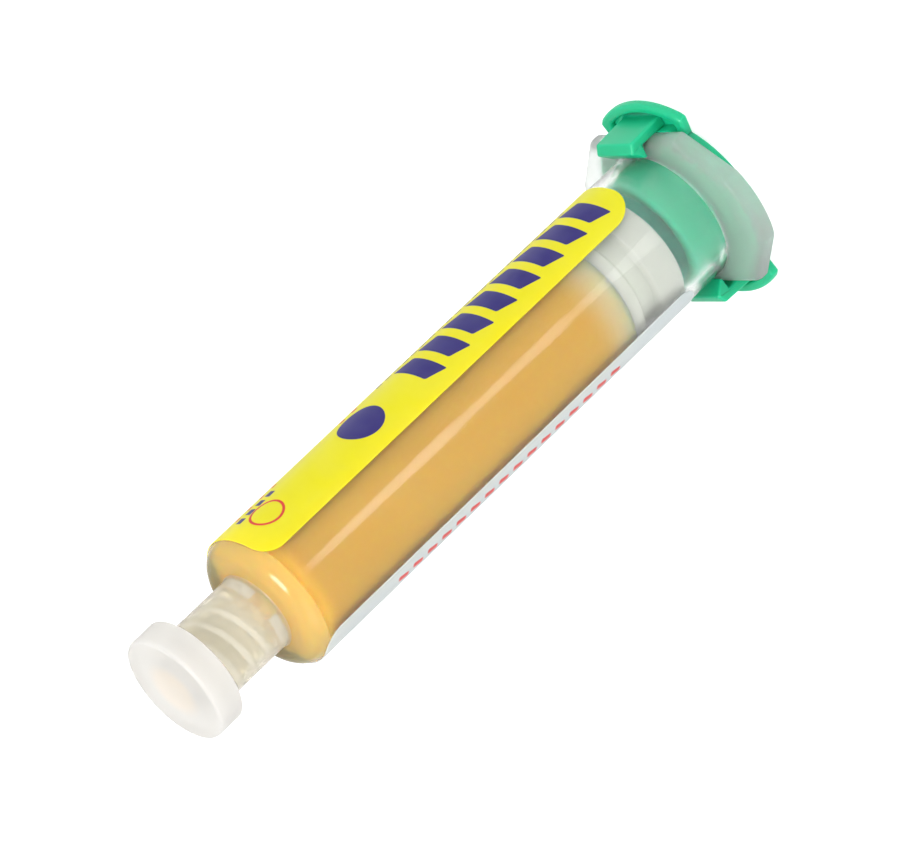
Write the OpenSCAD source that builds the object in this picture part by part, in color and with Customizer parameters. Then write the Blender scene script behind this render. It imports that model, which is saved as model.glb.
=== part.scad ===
// Flux syringe: a dispensing barrel with a luer lock, filled with soldering flux.
// It stands on the back of its end cap: the axis is Z and the tip points up.
// The flange's two ears lie along X, and the end cap's two hooks along Y.

/* [Barrel] */
// Outside diameter of the barrel
barrel_d = 18.4; // [15:0.1:24]
// Wall thickness of the barrel
barrel_wall = 1.25; // [0.8:0.05:2]
// Length of the barrel, from the flange's back to the shoulder's face
barrel_l = 78.7; // [60:0.1:110]
// Radius of the rounded edge between barrel and shoulder
shoulder_round = 2.4; // [1.4:0.1:3.2]
// Thickness of the shoulder at the outlet
shoulder_wall = 1.4; // [1:0.1:2.5]
// Height of the shallow cone inside the shoulder
floor_cone_h = 2.2; // [1:0.1:3.5]
// Radius of the inside corner between bore and shoulder cone
floor_round = 1; // [0.5:0.1:1.5]

/* [Flange] */
// Reach of each ear beyond the barrel
ear_reach = 6.3; // [5:0.1:9]
// Reach of the flange beyond the barrel at its two flat sides
flat_reach = 1.55; // [1:0.05:2]
// Bulge of the ears' outline beyond the flat sides, on the radius
ear_bulge = 1.25; // [0.2:0.05:2]
// Distance from the axis to the straight cuts between ears and flat sides
ear_cut = 13.65; // [13:0.05:16]
// Angle from the ear to the direction that each straight cut faces
ear_cut_angle = 45; // [35:1:55]
// Thickness of the flange
flange_t = 2.7; // [2:0.1:4]
// Radius of the rounded edge on the flange's front
flange_round = 1.7; // [0.5:0.1:1.8]
// Radius of the small rounding on the flange's back
flange_back_round = 0.3; // [0.1:0.05:0.4]
// Width of the sloped facet at the end of each ear
ear_facet_w = 2.7; // [1:0.1:3.5]
// Drop of the sloped facet at the end of each ear
ear_facet_drop = 0.45; // [0.2:0.05:0.8]
// Radius of the fillet between barrel and flange
flange_fillet = 0.3; // [0.1:0.05:0.4]

/* [Luer end] */
// Outside diameter of the lock collar
collar_d = 10.4; // [9:0.1:12]
// Inside diameter of the lock collar
collar_bore_d = 8.3; // [7.5:0.1:8.6]
// Length of the lock collar beyond the shoulder
collar_l = 10.3; // [7:0.1:13]
// Thickness of the floor between collar and outlet cone
collar_floor = 1.5; // [0.6:0.1:2]
// Diameter of the outlet cone at its end
cone_end_d = 3.96; // [3.7:0.01:4.2]
// Widening of the outlet cone in diameter, for each millimetre of its length
cone_taper = 0.06; // [0.03:0.005:0.08]
// Length of the outlet cone beyond the collar
cone_reach = 2.1; // [1:0.1:3]
// Diameter of the outlet bore
outlet_d = 2.5; // [1.5:0.1:3]

/* [Piston] */
// Clearance between piston lips and bore, on the radius
piston_gap = 0.05; // [0.02:0.01:0.1]
// Distance from the plug's front to the piston
plug_to_piston = 2.25; // [0.5:0.05:10]
// Height of the rear wiping lip
rear_lip_h = 4.45; // [2:0.05:6]
// Height of the narrow waist between the lips
waist_h = 3; // [1.5:0.1:5]
// Height of the front wiping lip
front_lip_h = 2.25; // [1:0.05:4]
// Depth of the waist below the lips, on the radius
waist_depth = 0.6; // [0.3:0.05:1.2]
// Wall thickness of the piston's skirt
skirt_wall = 1; // [0.8:0.1:2]
// Thickness of the piston's crown
crown_t = 4.4; // [1.5:0.1:5]
// Diameter of the blunt tip on the piston's cone
nose_tip_d = 2.4; // [1:0.1:4]
// Bevel at the edges of the lips
lip_bevel = 0.35; // [0.1:0.05:0.5]

/* [End cap] */
// Thickness of the plate where the flange sits
plate_t = 1.9; // [1.4:0.1:3]
// Reach of the plate beyond the barrel, under the ears
plate_reach = 2.8; // [2:0.1:4]
// Reach of each finger tab beyond the hooks
tab_reach = 2.1; // [1.8:0.1:5]
// Width of each finger tab at the distance tab_w_at from the axis
tab_w = 16.2; // [13:0.1:18]
// Distance from the axis at which the finger tabs are as wide as tab_w
tab_w_at = 11.9; // [11:0.1:12.5]
// Slope at which the tabs' sides narrow towards the plate
tab_slope = 14; // [8:1:18]
// Thickness of each finger tab
tab_t = 1.3; // [1:0.1:1.8]
// Rounding of the plate's and the tabs' edges
plate_round = 0.55; // [0.2:0.05:0.6]
// Width of the rim round the pocket in each tab
tab_rim = 1.35; // [1:0.05:1.6]
// Width of the pocket in each tab
pocket_w = 12.8; // [10:0.1:12.8]
// Thickness of the floor under the pocket
pocket_floor = 0.5; // [0.4:0.05:0.8]
// Width of each snap hook
hook_w = 7.2; // [5:0.1:9]
// Thickness of each hook's shank
hook_t = 1.45; // [1:0.05:2]
// Height of each hook's outer face above the flange
nose_h = 1.45; // [1:0.05:2.4]
// Height of the crest above the outer face
crest_h = 0.7; // [0.3:0.1:1]
// Bevel at the outer edge of each hook's end
hook_bevel = 0.25; // [0.1:0.05:0.5]
// Clearance between hooks and flange
hook_gap = 0.07; // [0.03:0.01:0.15]
// Length of the plug inside the barrel
plug_l = 7.75; // [4:0.05:12]
// Wall thickness of the plug
plug_wall = 1.3; // [0.8:0.1:2]
// Clearance between plug and bore, on the radius
plug_gap = 0.05; // [0.02:0.01:0.1]
// Lead-in bevel at the plug's front
plug_bevel = 0.5; // [0.2:0.1:0.8]

/* [Tip cap] */
// Diameter of the tip cap's head
head_d = 14.7; // [12:0.1:18]
// Thickness of the tip cap's head
head_t = 3.8; // [2.5:0.1:6]
// Rounding of the head's edges
head_round = 0.45; // [0.2:0.05:1]
// Gap between the head and the lock collar
head_gap = 0.4; // [0.1:0.1:1]
// Diameter of the hub inside the collar
hub_d = 7; // [6:0.1:7.2]
// Distance from the hub's open end to the collar's floor
hub_end_gap = 1; // [0.5:0.1:2]
// Clearance between hub and outlet cone, on the radius
hub_gap = 0.05; // [0.02:0.01:0.1]
// Clearance between the lock lugs and the collar, on the radius
lug_gap = 0.2; // [0.1:0.05:0.3]
// Height of the two lock lugs
lug_h = 1; // [0.6:0.1:1.4]
// Angle that each lock lug covers
lug_angle = 40; // [20:5:60]

/* [Label] */
// Length of the label along the barrel
label_l = 67.8; // [50:0.1:72]
// Distance from the flange's front to the label
label_start = 6.5; // [3:0.1:8]
// Thickness of the label film
label_t = 0.1; // [0.06:0.01:0.2]
// Thickness of the adhesive under the label
glue_t = 0.02; // [0.01:0.01:0.05]
// Angle from the ear to the label's first edge
label_from = 46; // [30:1:60]
// Angle that the label covers
label_wrap = 279.5; // [240:0.5:300]
// Radius of the label's corner at its first edge, next to the flange
label_corner = 4.5; // [2:0.1:6]
// Radius of the label's three other corners
label_corner_small = 2.8; // [1:0.1:6]

/* [Flux] */
// Clearance that keeps the flux off the walls round it
flux_gap = 0.02; // [0.01:0.01:0.05]

/* [Hidden] */
$fn = 96;
arc_steps = 8;
over = 1;

barrel_r = barrel_d / 2;
bore_r = barrel_r - barrel_wall;
outlet_r = outlet_d / 2;
collar_r = collar_d / 2;
collar_bore_r = collar_bore_d / 2;

flange_back = plate_t;
flange_front = flange_back + flange_t;
flange_end = barrel_r + ear_reach;
flat_y = barrel_r + flat_reach;
ear_r = flat_y + ear_bulge;
ear_x = flange_end - ear_r;
shoulder_z = flange_back + barrel_l;
cone_top_z = shoulder_z - shoulder_wall;
floor_z = cone_top_z - floor_cone_h;
collar_end = shoulder_z + collar_l;
collar_floor_z = shoulder_z + collar_floor;
cone_end = collar_end + cone_reach;
cone_l = cone_end - collar_floor_z;
cone_end_r = cone_end_d / 2;
cone_base_r = cone_end_r + cone_l * cone_taper / 2;
floor_slope = atan(floor_cone_h / (bore_r - outlet_r));

plug_r = bore_r - plug_gap;
plug_end = flange_back + plug_l;
plate_r = barrel_r + plate_reach;
hook_in = flat_y + hook_gap;
hook_out = hook_in + hook_t;
hook_under = flange_front + hook_gap;
hook_end = hook_under + nose_h;
tab_r = hook_out + tab_reach;

lip_r = bore_r - piston_gap;
piston_z = plug_end + plug_to_piston;
waist_z = piston_z + rear_lip_h;
front_lip_z = waist_z + waist_h;
lip_end_z = front_lip_z + front_lip_h;
nose_r = nose_tip_d / 2;
nose_z = lip_end_z + (lip_r - nose_r) * tan(floor_slope);
hollow_r = lip_r - waist_depth - skirt_wall;
hollow_top = lip_end_z - crown_t;

head_z = collar_end + head_gap;
head_end = head_z + head_t;
hub_r = hub_d / 2;
hub_z = collar_floor_z + hub_end_gap;
lug_r = collar_bore_r - lug_gap;

label_z = flange_front + label_start;
label_r = barrel_r + glue_t;

// Points of a quarter round from angle a0 to a1, round the centre c.
function arc(c, r, a0, a1) =
    [for (i = [0:arc_steps])
        let (a = a0 + (a1 - a0) * i / arc_steps) c + r * [cos(a), sin(a)]];

// Radius of the outlet cone's outside at the height z.
function cone_r(z) = cone_end_r + (cone_end - z) * cone_taper / 2;

// The inside of the barrel, as points from the bore's mouth up to the outlet.
// A rounded corner joins the bore to the shallow cone; grow moves it inwards.
function bore_profile(grow, from_z, to_z) =
    let (
        r = bore_r - grow,
        top = floor_z - grow / cos(floor_slope) + grow * tan(floor_slope),
        reach = floor_round * tan((90 - floor_slope) / 2),
        c = [r - floor_round, top - reach]
    )
    concat(
        [[r, from_z]],
        arc(c, floor_round, 0, 90 - floor_slope),
        [[outlet_r - grow, cone_top_z - grow / cos(floor_slope) + grow * tan(floor_slope)]],
        [[outlet_r - grow, to_z]]
    );

// Side outline of a slab as wide as w, from z0 to z1, with rounded edges.
function slab_points(w, z0, z1, low, high) =
    concat(
        arc([w / 2 - high, z1 - high], high, 0, 90),
        arc([high - w / 2, z1 - high], high, 90, 180),
        arc([low - w / 2, z0 + low], low, 180, 270),
        arc([w / 2 - low, z0 + low], low, 270, 360)
    );

// Half outline of a disc of radius r, from z0 to z1, with rounded edges.
function disc_points(r, z0, z1, low, high) =
    concat(
        [[0, z0]],
        arc([r - low, z0 + low], low, -90, 0),
        arc([r - high, z1 - high], high, 0, 90),
        [[0, z1]]
    );

// A slab of the flange's section along X.
module flange_slab(l, w) {
    translate([-l / 2, 0, 0])
        rotate([90, 0, 90])
            linear_extrude(l)
                polygon(slab_points(w, flange_back, flange_front, flange_back_round, flange_round));
}

// The flange: two round ears joined by a slab, cut to two flat sides and four straight cuts.
module flange_body() {
    intersection() {
        union() {
            for (side = [-1, 1])
                translate([side * ear_x, 0, 0])
                    rotate_extrude()
                        polygon(disc_points(
                            ear_r, flange_back, flange_front, flange_back_round, flange_round));
            flange_slab(2 * ear_x, 2 * ear_r);
        }
        flange_slab(2 * flange_end + 2 * over, 2 * flat_y);
        rotate([0, 0, 90 - ear_cut_angle]) flange_slab(4 * flange_end, 2 * ear_cut);
        rotate([0, 0, ear_cut_angle - 90]) flange_slab(4 * flange_end, 2 * ear_cut);
    }
}

// A wedge that slopes off the front of one ear's end.
module ear_facet() {
    slope = atan(ear_facet_drop / ear_facet_w);
    translate([flange_end - ear_facet_w, 0, flange_front])
        rotate([0, slope, 0])
            translate([0, -flange_end, 0]) cube([2 * ear_facet_w, 2 * flange_end, flange_t]);
}

// The outside of barrel, shoulder and collar.
module barrel_outside() {
    rotate_extrude()
        polygon(concat(
            [[0, flange_back]],
            [[barrel_r, flange_back]],
            [[barrel_r, flange_front]],
            arc([barrel_r - shoulder_round, shoulder_z - shoulder_round], shoulder_round, 0, 90),
            [[collar_r, shoulder_z]],
            [[collar_r, collar_end]],
            [[0, collar_end]]
        ));
}

// The fillet where the barrel meets the flange's front.
module flange_fillet_ring() {
    rotate_extrude()
        polygon(concat(
            [[barrel_r - 0.2, flange_front - 0.2]],
            [[barrel_r + flange_fillet, flange_front - 0.2]],
            arc([barrel_r + flange_fillet, flange_front + flange_fillet], flange_fillet, 270, 180),
            [[barrel_r - 0.2, flange_front + flange_fillet]]
        ));
}

// The empty space inside barrel and outlet.
module barrel_inside() {
    rotate_extrude()
        polygon(concat(
            [[0, flange_back - over]],
            bore_profile(0, flange_back - over, cone_end + over),
            [[0, cone_end + over]]
        ));
}

// The space round the outlet cone, inside the collar.
module collar_inside() {
    rotate_extrude()
        polygon([
            [cone_base_r, collar_floor_z],
            [collar_bore_r, collar_floor_z],
            [collar_bore_r, collar_end + over],
            [cone_r(collar_end + over), collar_end + over]
        ]);
}

// The outlet cone beyond the collar's floor.
module outlet_cone() {
    translate([0, 0, collar_floor_z])
        cylinder(r1 = cone_base_r, r2 = cone_end_r, h = cone_l);
}

// The barrel: one moulding with flange, shoulder, lock collar and outlet cone.
module barrel() {
    color([0.93, 0.93, 0.9, 0.5])
        difference() {
            union() {
                difference() {
                    union() {
                        flange_body();
                        barrel_outside();
                        flange_fillet_ring();
                    }
                    collar_inside();
                }
                outlet_cone();
            }
            barrel_inside();
            ear_facet();
            mirror([1, 0, 0]) ear_facet();
        }
}

// A wide slab along Y, whose right side passes the corner of one finger tab.
module tab_side() {
    translate([tab_w / 2, tab_w_at, 0])
        rotate([0, 0, -tab_slope])
            translate([-2 * tab_r, 2 * tab_r, 0])
                rotate([90, 0, 0])
                    linear_extrude(6 * tab_r)
                        polygon(slab_points(4 * tab_r, 0, tab_t, plate_round, plate_round));
}

// One finger tab: the end of a round disc, whose sides narrow towards the plate.
module tab() {
    intersection() {
        rotate_extrude() polygon(disc_points(tab_r, 0, tab_t, plate_round, plate_round));
        translate([-tab_r, over, -over]) cube([2 * tab_r, tab_r, tab_t + 2 * over]);
        tab_side();
        mirror([1, 0, 0]) tab_side();
    }
}

// The pocket in one tab: a segment of a disc beside the hook's outer face.
module tab_pocket() {
    translate([0, 0, pocket_floor])
        linear_extrude(plate_t)
            intersection() {
                circle(r = tab_r - tab_rim);
                translate([-pocket_w / 2, flat_y]) square([pocket_w, tab_r]);
            }
}

// One snap hook, as its side outline drawn through its width.
module hook() {
    translate([-hook_w / 2, 0, 0])
        rotate([90, 0, 90])
            linear_extrude(hook_w)
                polygon([
                    [hook_in, pocket_floor / 2],
                    [hook_out, pocket_floor / 2],
                    [hook_out, hook_end - hook_bevel],
                    [hook_out - hook_bevel, hook_end],
                    [hook_in, hook_end + crest_h],
                    [barrel_r + hook_gap, hook_under + flange_fillet + 0.25],
                    [barrel_r + hook_gap, hook_under + flange_fillet],
                    [hook_in, hook_under]
                ]);
}

// The plug that seals the barrel's back, a ring open towards the piston.
module plug() {
    rotate_extrude()
        polygon([
            [plug_r - plug_wall, plate_t - 0.5],
            [plug_r, plate_t - 0.5],
            [plug_r, plug_end - plug_bevel],
            [plug_r - plug_bevel, plug_end],
            [plug_r - plug_wall, plug_end]
        ]);
}

// The end cap: one moulding with plate, tabs, plug and two snap hooks.
module end_cap() {
    color([0.1, 0.76, 0.5])
        union() {
            difference() {
                union() {
                    rotate_extrude() polygon(disc_points(plate_r, 0, plate_t, plate_round, 0.1));
                    for (side = [0, 1])
                        mirror([0, side, 0]) tab();
                }
                for (side = [0, 1])
                    mirror([0, side, 0]) tab_pocket();
            }
            for (side = [0, 1])
                mirror([0, side, 0]) hook();
            plug();
        }
}

// The piston: two wiping lips, a narrow waist, a conical front and a hollow back.
module piston() {
    color([0.88, 0.88, 0.84])
        rotate_extrude()
            polygon([
                [hollow_r, piston_z],
                [lip_r - lip_bevel, piston_z],
                [lip_r, piston_z + lip_bevel],
                [lip_r, waist_z - lip_bevel],
                [lip_r - waist_depth, waist_z + waist_depth / 2],
                [lip_r - waist_depth, front_lip_z - waist_depth / 2],
                [lip_r, front_lip_z + lip_bevel],
                [lip_r, lip_end_z - lip_bevel],
                [nose_r, nose_z],
                [0, nose_z],
                [0, hollow_top],
                [hollow_r - 1, hollow_top],
                [hollow_r, hollow_top - 1]
            ]);
}

// The flux: it fills the bore from the piston to the end of the outlet.
module flux_paste() {
    color([0.88, 0.68, 0.3])
        rotate_extrude()
            polygon(concat(
                [[0, nose_z + flux_gap]],
                [[nose_r, nose_z + flux_gap]],
                [[bore_r - flux_gap, lip_end_z - lip_bevel + flux_gap]],
                bore_profile(flux_gap, lip_end_z + lip_bevel, cone_end),
                [[0, cone_end]]
            ));
}

// What is cut off one corner of the label, standing on the label's first edge.
module label_corner_cut(r) {
    rotate([90, 0, 90])
        linear_extrude(2 * barrel_r)
            polygon(concat(
                [[-over, label_l + over]],
                [[-over, label_l - r]],
                arc([r - 0.02, label_l - r + 0.02], r, 180, 90),
                [[r, label_l + over]]
            ));
}

// Both corners at the label's first edge, of radius low next to the flange.
module label_edge_cut(low) {
    label_corner_cut(label_corner_small);
    translate([0, 0, label_l]) mirror([0, 0, 1]) label_corner_cut(low);
}

// The label: one film wrapped most of the way round, with four round corners.
module label() {
    color([1, 0.92, 0.16])
        translate([0, 0, label_z])
            rotate([0, 0, label_from])
                difference() {
                    rotate_extrude(angle = label_wrap)
                        translate([label_r, 0]) square([label_t, label_l]);
                    label_edge_cut(label_corner);
                    rotate([0, 0, label_wrap]) mirror([0, 1, 0]) label_edge_cut(label_corner_small);
                }
}

// The outline of the hub's socket, a cone that seats over the outlet cone.
module socket() {
    rotate_extrude()
        polygon([
            [0, hub_z - over],
            [cone_r(hub_z - over) + hub_gap, hub_z - over],
            [cone_end_r + hub_gap, cone_end + hub_gap],
            [0, cone_end + hub_gap]
        ]);
}

// One lock lug at the hub's open end.
module lock_lug() {
    rotate([0, 0, -lug_angle / 2])
        rotate_extrude(angle = lug_angle)
            polygon([
                [hub_r - 0.3, hub_z],
                [lug_r, hub_z + 0.15],
                [lug_r, hub_z + lug_h - 0.35],
                [hub_r - 0.3, hub_z + lug_h]
            ]);
}

// The tip cap: one moulding with a round head and a threaded hub.
module tip_cap() {
    color([0.92, 0.9, 0.86, 0.6])
        difference() {
            union() {
                rotate_extrude()
                    polygon(disc_points(head_d / 2, head_z, head_end, head_round, head_round));
                translate([0, 0, hub_z]) cylinder(r = hub_r, h = head_z - hub_z + head_round);
                for (side = [0, 180])
                    rotate([0, 0, side]) lock_lug();
            }
            socket();
        }
}

barrel();
end_cap();
piston();
flux_paste();
label();
tip_cap();
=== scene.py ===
"""Looks of a flux syringe: frosted barrel, amber flux, printed label, green end cap and natural tip cap.

Sizes are in millimetres and become metres where a mesh is made. The axis is Z, the tip points up, and
the flange's ears lie along X. Only the studio's floor and lamps are given in metres.
"""

from __future__ import annotations

import logging
import math
from dataclasses import dataclass, replace
from enum import Enum

import bpy
import numpy as np
from mathutils import Matrix, Vector

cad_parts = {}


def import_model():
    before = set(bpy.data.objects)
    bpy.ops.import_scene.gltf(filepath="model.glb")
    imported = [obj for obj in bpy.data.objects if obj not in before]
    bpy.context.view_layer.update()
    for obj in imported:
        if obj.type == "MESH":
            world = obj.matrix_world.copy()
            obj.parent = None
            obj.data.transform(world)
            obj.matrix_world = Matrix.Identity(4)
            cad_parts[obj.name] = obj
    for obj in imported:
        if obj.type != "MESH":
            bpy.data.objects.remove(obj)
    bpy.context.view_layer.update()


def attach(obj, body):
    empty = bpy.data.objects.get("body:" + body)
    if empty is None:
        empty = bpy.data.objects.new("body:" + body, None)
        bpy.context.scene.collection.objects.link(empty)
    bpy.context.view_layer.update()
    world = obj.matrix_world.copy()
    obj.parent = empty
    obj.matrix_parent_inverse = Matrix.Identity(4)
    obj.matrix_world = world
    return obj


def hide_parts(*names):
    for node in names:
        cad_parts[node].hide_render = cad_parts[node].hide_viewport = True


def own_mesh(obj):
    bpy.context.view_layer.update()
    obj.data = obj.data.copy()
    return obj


LOG = logging.getLogger("flux_syringe")
MM = 0.001
FREE = 9.0  # room of a point that may be drawn in as far as its edge's radius asks

Colour = tuple[float, float, float]
Point = tuple[float, float]
Spot = tuple[float, float, float]
Inputs = dict[str | int, object]


# Surfaces


@dataclass
class Skin:
    """A surface as points in millimetres and faces as tuples of point numbers."""

    points: np.ndarray
    faces: list[tuple[int, ...]]

    def joined(self, other: Skin) -> Skin:
        """Joins another surface to this one.

        Args:
            other: The surface whose points and faces come after this one's.

        Returns:
            Both as one surface.
        """
        start = len(self.points)
        moved = [tuple(index + start for index in face) for face in other.faces]
        return Skin(np.vstack([self.points, other.points]), self.faces + moved)

    def half_turned(self) -> Skin:
        """Returns the surface turned by 180 degrees about the Z axis."""
        return Skin(self.points * np.array([-1.0, -1.0, 1.0]), list(self.faces))

    def middles(self) -> tuple[np.ndarray, np.ndarray]:
        """Returns each face's distance from the axis and its height, where all faces have four corners."""
        middle = self.points[np.array(self.faces)].mean(axis=1)
        return np.hypot(middle[:, 0], middle[:, 1]), middle[:, 2]


def arc(centre: Point, radius: float, start: float, stop: float, steps: int = 8) -> np.ndarray:
    """Points of a round: centre plus radius times (cosine, sine) of evenly spaced angles in degrees."""
    angle = np.radians(np.linspace(start, stop, steps + 1))
    return np.column_stack([centre[0] + radius * np.cos(angle), centre[1] + radius * np.sin(angle)])


def line(start: Point, stop: Point, steps: int) -> np.ndarray:
    """Points evenly spaced on a straight line: start plus a growing share of (stop minus start)."""
    share = np.linspace(0.0, 1.0, steps + 1)[:, None]
    return np.asarray(start) + share * (np.asarray(stop) - np.asarray(start))


def tidy_path(*stretches: np.ndarray) -> np.ndarray:
    """Joins stretches of points into one path and leaves out points that repeat the one before.

    Args:
        stretches: Arrays of points, in the path's order.

    Returns:
        The path's points.
    """
    path = np.vstack(stretches)
    step = np.linalg.norm(np.diff(path, axis=0), axis=1)
    return path[np.concatenate([[True], step > 1e-6])]


def grid_faces(rows: int, columns: int, row_loop: bool = False, column_loop: bool = False) -> np.ndarray:
    """Quads of a grid of points that are numbered row by row.

    The quad at (i, j) joins the points (i, j), (i + 1, j), (i + 1, j + 1) and (i, j + 1).

    Args:
        rows: Number of rows of points.
        columns: Number of columns of points.
        row_loop: True where the last row joins the first.
        column_loop: True where the last column joins the first.

    Returns:
        An array with one row of four point numbers for each quad.
    """
    i = np.arange(rows if row_loop else rows - 1)[:, None]
    j = np.arange(columns if column_loop else columns - 1)[None]
    below, after = (i + 1) % rows, (j + 1) % columns
    corners = (i * columns + j, below * columns + j, below * columns + after, i * columns + after)
    return np.stack(corners, axis=-1).reshape(-1, 4)


def face_tuples(*arrays: np.ndarray) -> list[tuple[int, ...]]:
    """Returns the rows of arrays of point numbers as one list of tuples."""
    return [tuple(face) for array in arrays for face in array.tolist()]


def turned_grid(radius: np.ndarray, height: np.ndarray, closed: bool) -> Skin:
    """A surface of revolution whose radius and height may change round the turn.

    Point (i, j) lies at radius[i, j] times (cosine, sine) of the i-th angle, and at height[i, j]. The path
    runs counter-clockwise as seen with the radius to the right, which turns the faces outwards.

    Args:
        radius: Rows are angles, columns are points along the path.
        height: The same shape as radius.
        closed: True where the path's last point joins its first; else both ends lie on the axis.

    Returns:
        The surface, with one point at each end on the axis where the path is open.
    """
    turns, count = radius.shape
    angle = np.linspace(0.0, 2.0 * math.pi, turns, endpoint=False)[:, None]
    grid = np.stack([radius * np.cos(angle), radius * np.sin(angle), height], axis=-1)
    if closed:
        return Skin(grid.reshape(-1, 3), face_tuples(grid_faces(turns, count, True, True)))
    width = count - 2
    i = np.arange(turns)
    following = (i + 1) % turns
    first, last = turns * width, turns * width + 1
    low = np.stack([np.full(turns, first), following * width, i * width], axis=-1)
    high = np.stack([np.full(turns, last), i * width + width - 1, following * width + width - 1], axis=-1)
    points = np.vstack([grid[:, 1:-1].reshape(-1, 3), grid[0, 0][None], grid[0, -1][None]])
    return Skin(points, face_tuples(grid_faces(turns, width, row_loop=True), low, high))


def turned(path: np.ndarray, turns: int = 180, closed: bool = False) -> Skin:
    """A plain surface of revolution: the same path at every angle round the Z axis."""
    shape = (turns, len(path))
    return turned_grid(np.broadcast_to(path[:, 0], shape), np.broadcast_to(path[:, 1], shape), closed)


def side_by_side(turns: int, *parts: np.ndarray) -> np.ndarray:
    """Joins stretches of a turned grid: a stretch of one row is repeated at every angle."""
    return np.hstack([np.broadcast_to(part, (turns, part.shape[-1])) for part in parts])


def rounded_corners(corners: list[tuple[float, float, float]], steps: int = 5) -> np.ndarray:
    """An outline whose corners are rounds: each corner is (x, y, radius).

    A round of radius r at a corner with half angle h touches both sides at r / tan(h) from the corner, and
    its centre lies r / sin(h) away on the line that halves the corner.

    Args:
        corners: The outline's corners, counter-clockwise.
        steps: Number of stretches in each round.

    Returns:
        The outline's points.
    """
    parts = []
    count = len(corners)
    for index, (x, y, radius) in enumerate(corners):
        here = np.array([x, y])
        if radius <= 0.0:
            parts.append(here[None])
            continue
        before = np.array(corners[index - 1][:2]) - here
        after = np.array(corners[(index + 1) % count][:2]) - here
        before /= np.linalg.norm(before)
        after /= np.linalg.norm(after)
        half = math.acos(max(-1.0, min(1.0, float(before @ after)))) / 2.0
        middle = (before + after) / np.linalg.norm(before + after)
        centre = here + middle * radius / math.sin(half)
        touch_in = here + before * radius / math.tan(half) - centre
        touch_out = here + after * radius / math.tan(half) - centre
        start = math.atan2(touch_in[1], touch_in[0])
        sweep = (math.atan2(touch_out[1], touch_out[0]) - start + math.pi) % (2.0 * math.pi) - math.pi
        parts.append(arc(tuple(centre), radius, math.degrees(start), math.degrees(start + sweep), steps))
    return tidy_path(*parts)


def soft_prism(
    outline: np.ndarray,
    low: float,
    high: float,
    low_round: float,
    high_round: float,
    room: np.ndarray | float = FREE,
) -> Skin:
    """A prism with rounded edges: rings of the outline, drawn in towards both ends.

    At an angle a of an edge's quarter round of radius r, the ring is drawn in by r times (1 minus sine a)
    along the outline's own normals, and lies r times (1 minus cosine a) inside the end. One more ring, a
    little further in, keeps each end flat.

    Args:
        outline: Counter-clockwise points in the XY plane.
        low: Height of the lower end.
        high: Height of the upper end.
        low_round: Radius of the lower edge.
        high_round: Radius of the upper edge.
        room: The most that each point may be drawn in, where the outline is narrow.

    Returns:
        The closed surface, whose two ends are single faces.
    """
    forward = np.roll(outline, -1, axis=0) - outline
    backward = outline - np.roll(outline, 1, axis=0)
    tangent = forward / np.linalg.norm(forward, axis=1)[:, None]
    tangent = tangent + backward / np.linalg.norm(backward, axis=1)[:, None]
    tangent /= np.linalg.norm(tangent, axis=1)[:, None]
    inward = np.column_stack([-tangent[:, 1], tangent[:, 0]])
    angle = np.radians(np.linspace(0.0, 90.0, 7))
    sine, cosine = 1.0 - np.sin(angle), 1.0 - np.cos(angle)
    further = 0.03
    drawn = [[low_round + further], low_round * sine, high_round * sine[::-1], [high_round + further]]
    height = [[low], low + low_round * cosine, high - high_round * cosine[::-1], [high]]
    drawn, height = np.concatenate(drawn), np.concatenate(height)
    rings, count = len(drawn), len(outline)
    flat = outline[None] + np.minimum(drawn[:, None], room)[:, :, None] * inward[None]
    raised = np.broadcast_to(height[:, None, None], (rings, count, 1))
    sides = grid_faces(rings, count, column_loop=True)[:, [0, 3, 2, 1]]
    ends = [tuple(range(count - 1, -1, -1)), tuple(range((rings - 1) * count, rings * count))]
    return Skin(np.concatenate([flat, raised], axis=-1).reshape(-1, 3), face_tuples(sides) + ends)


def make_piece(
    name: str, skin: Skin, materials: list[bpy.types.Material], body: str
) -> bpy.types.Object:
    """Puts a surface into the scene as a piece that rides on a body.

    Args:
        name: The piece's name.
        skin: Its surface, in millimetres.
        materials: Its materials, the first of which is on every face.
        body: The body that it moves with.

    Returns:
        The new object, which sits at the origin.
    """
    sharp_from = math.radians(40.0)
    mesh = bpy.data.meshes.new(name)
    mesh.from_pydata((skin.points * MM).tolist(), [], skin.faces)
    mesh.validate()
    mesh.shade_smooth()
    mesh.set_sharp_from_angle(angle=sharp_from)
    for material in materials:
        mesh.materials.append(material)
    piece = bpy.data.objects.new(name, mesh)
    bpy.context.scene.collection.objects.link(piece)
    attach(piece, body)
    LOG.info("%s: %d points, %d faces, on %s", name, len(mesh.vertices), len(mesh.polygons), body)
    return piece


def paint_faces(piece: bpy.types.Object, which: np.ndarray) -> None:
    """Gives each face of a piece the number of its material."""
    piece.data.polygons.foreach_set("material_index", which.astype(np.int32))


# Shader groups


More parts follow.
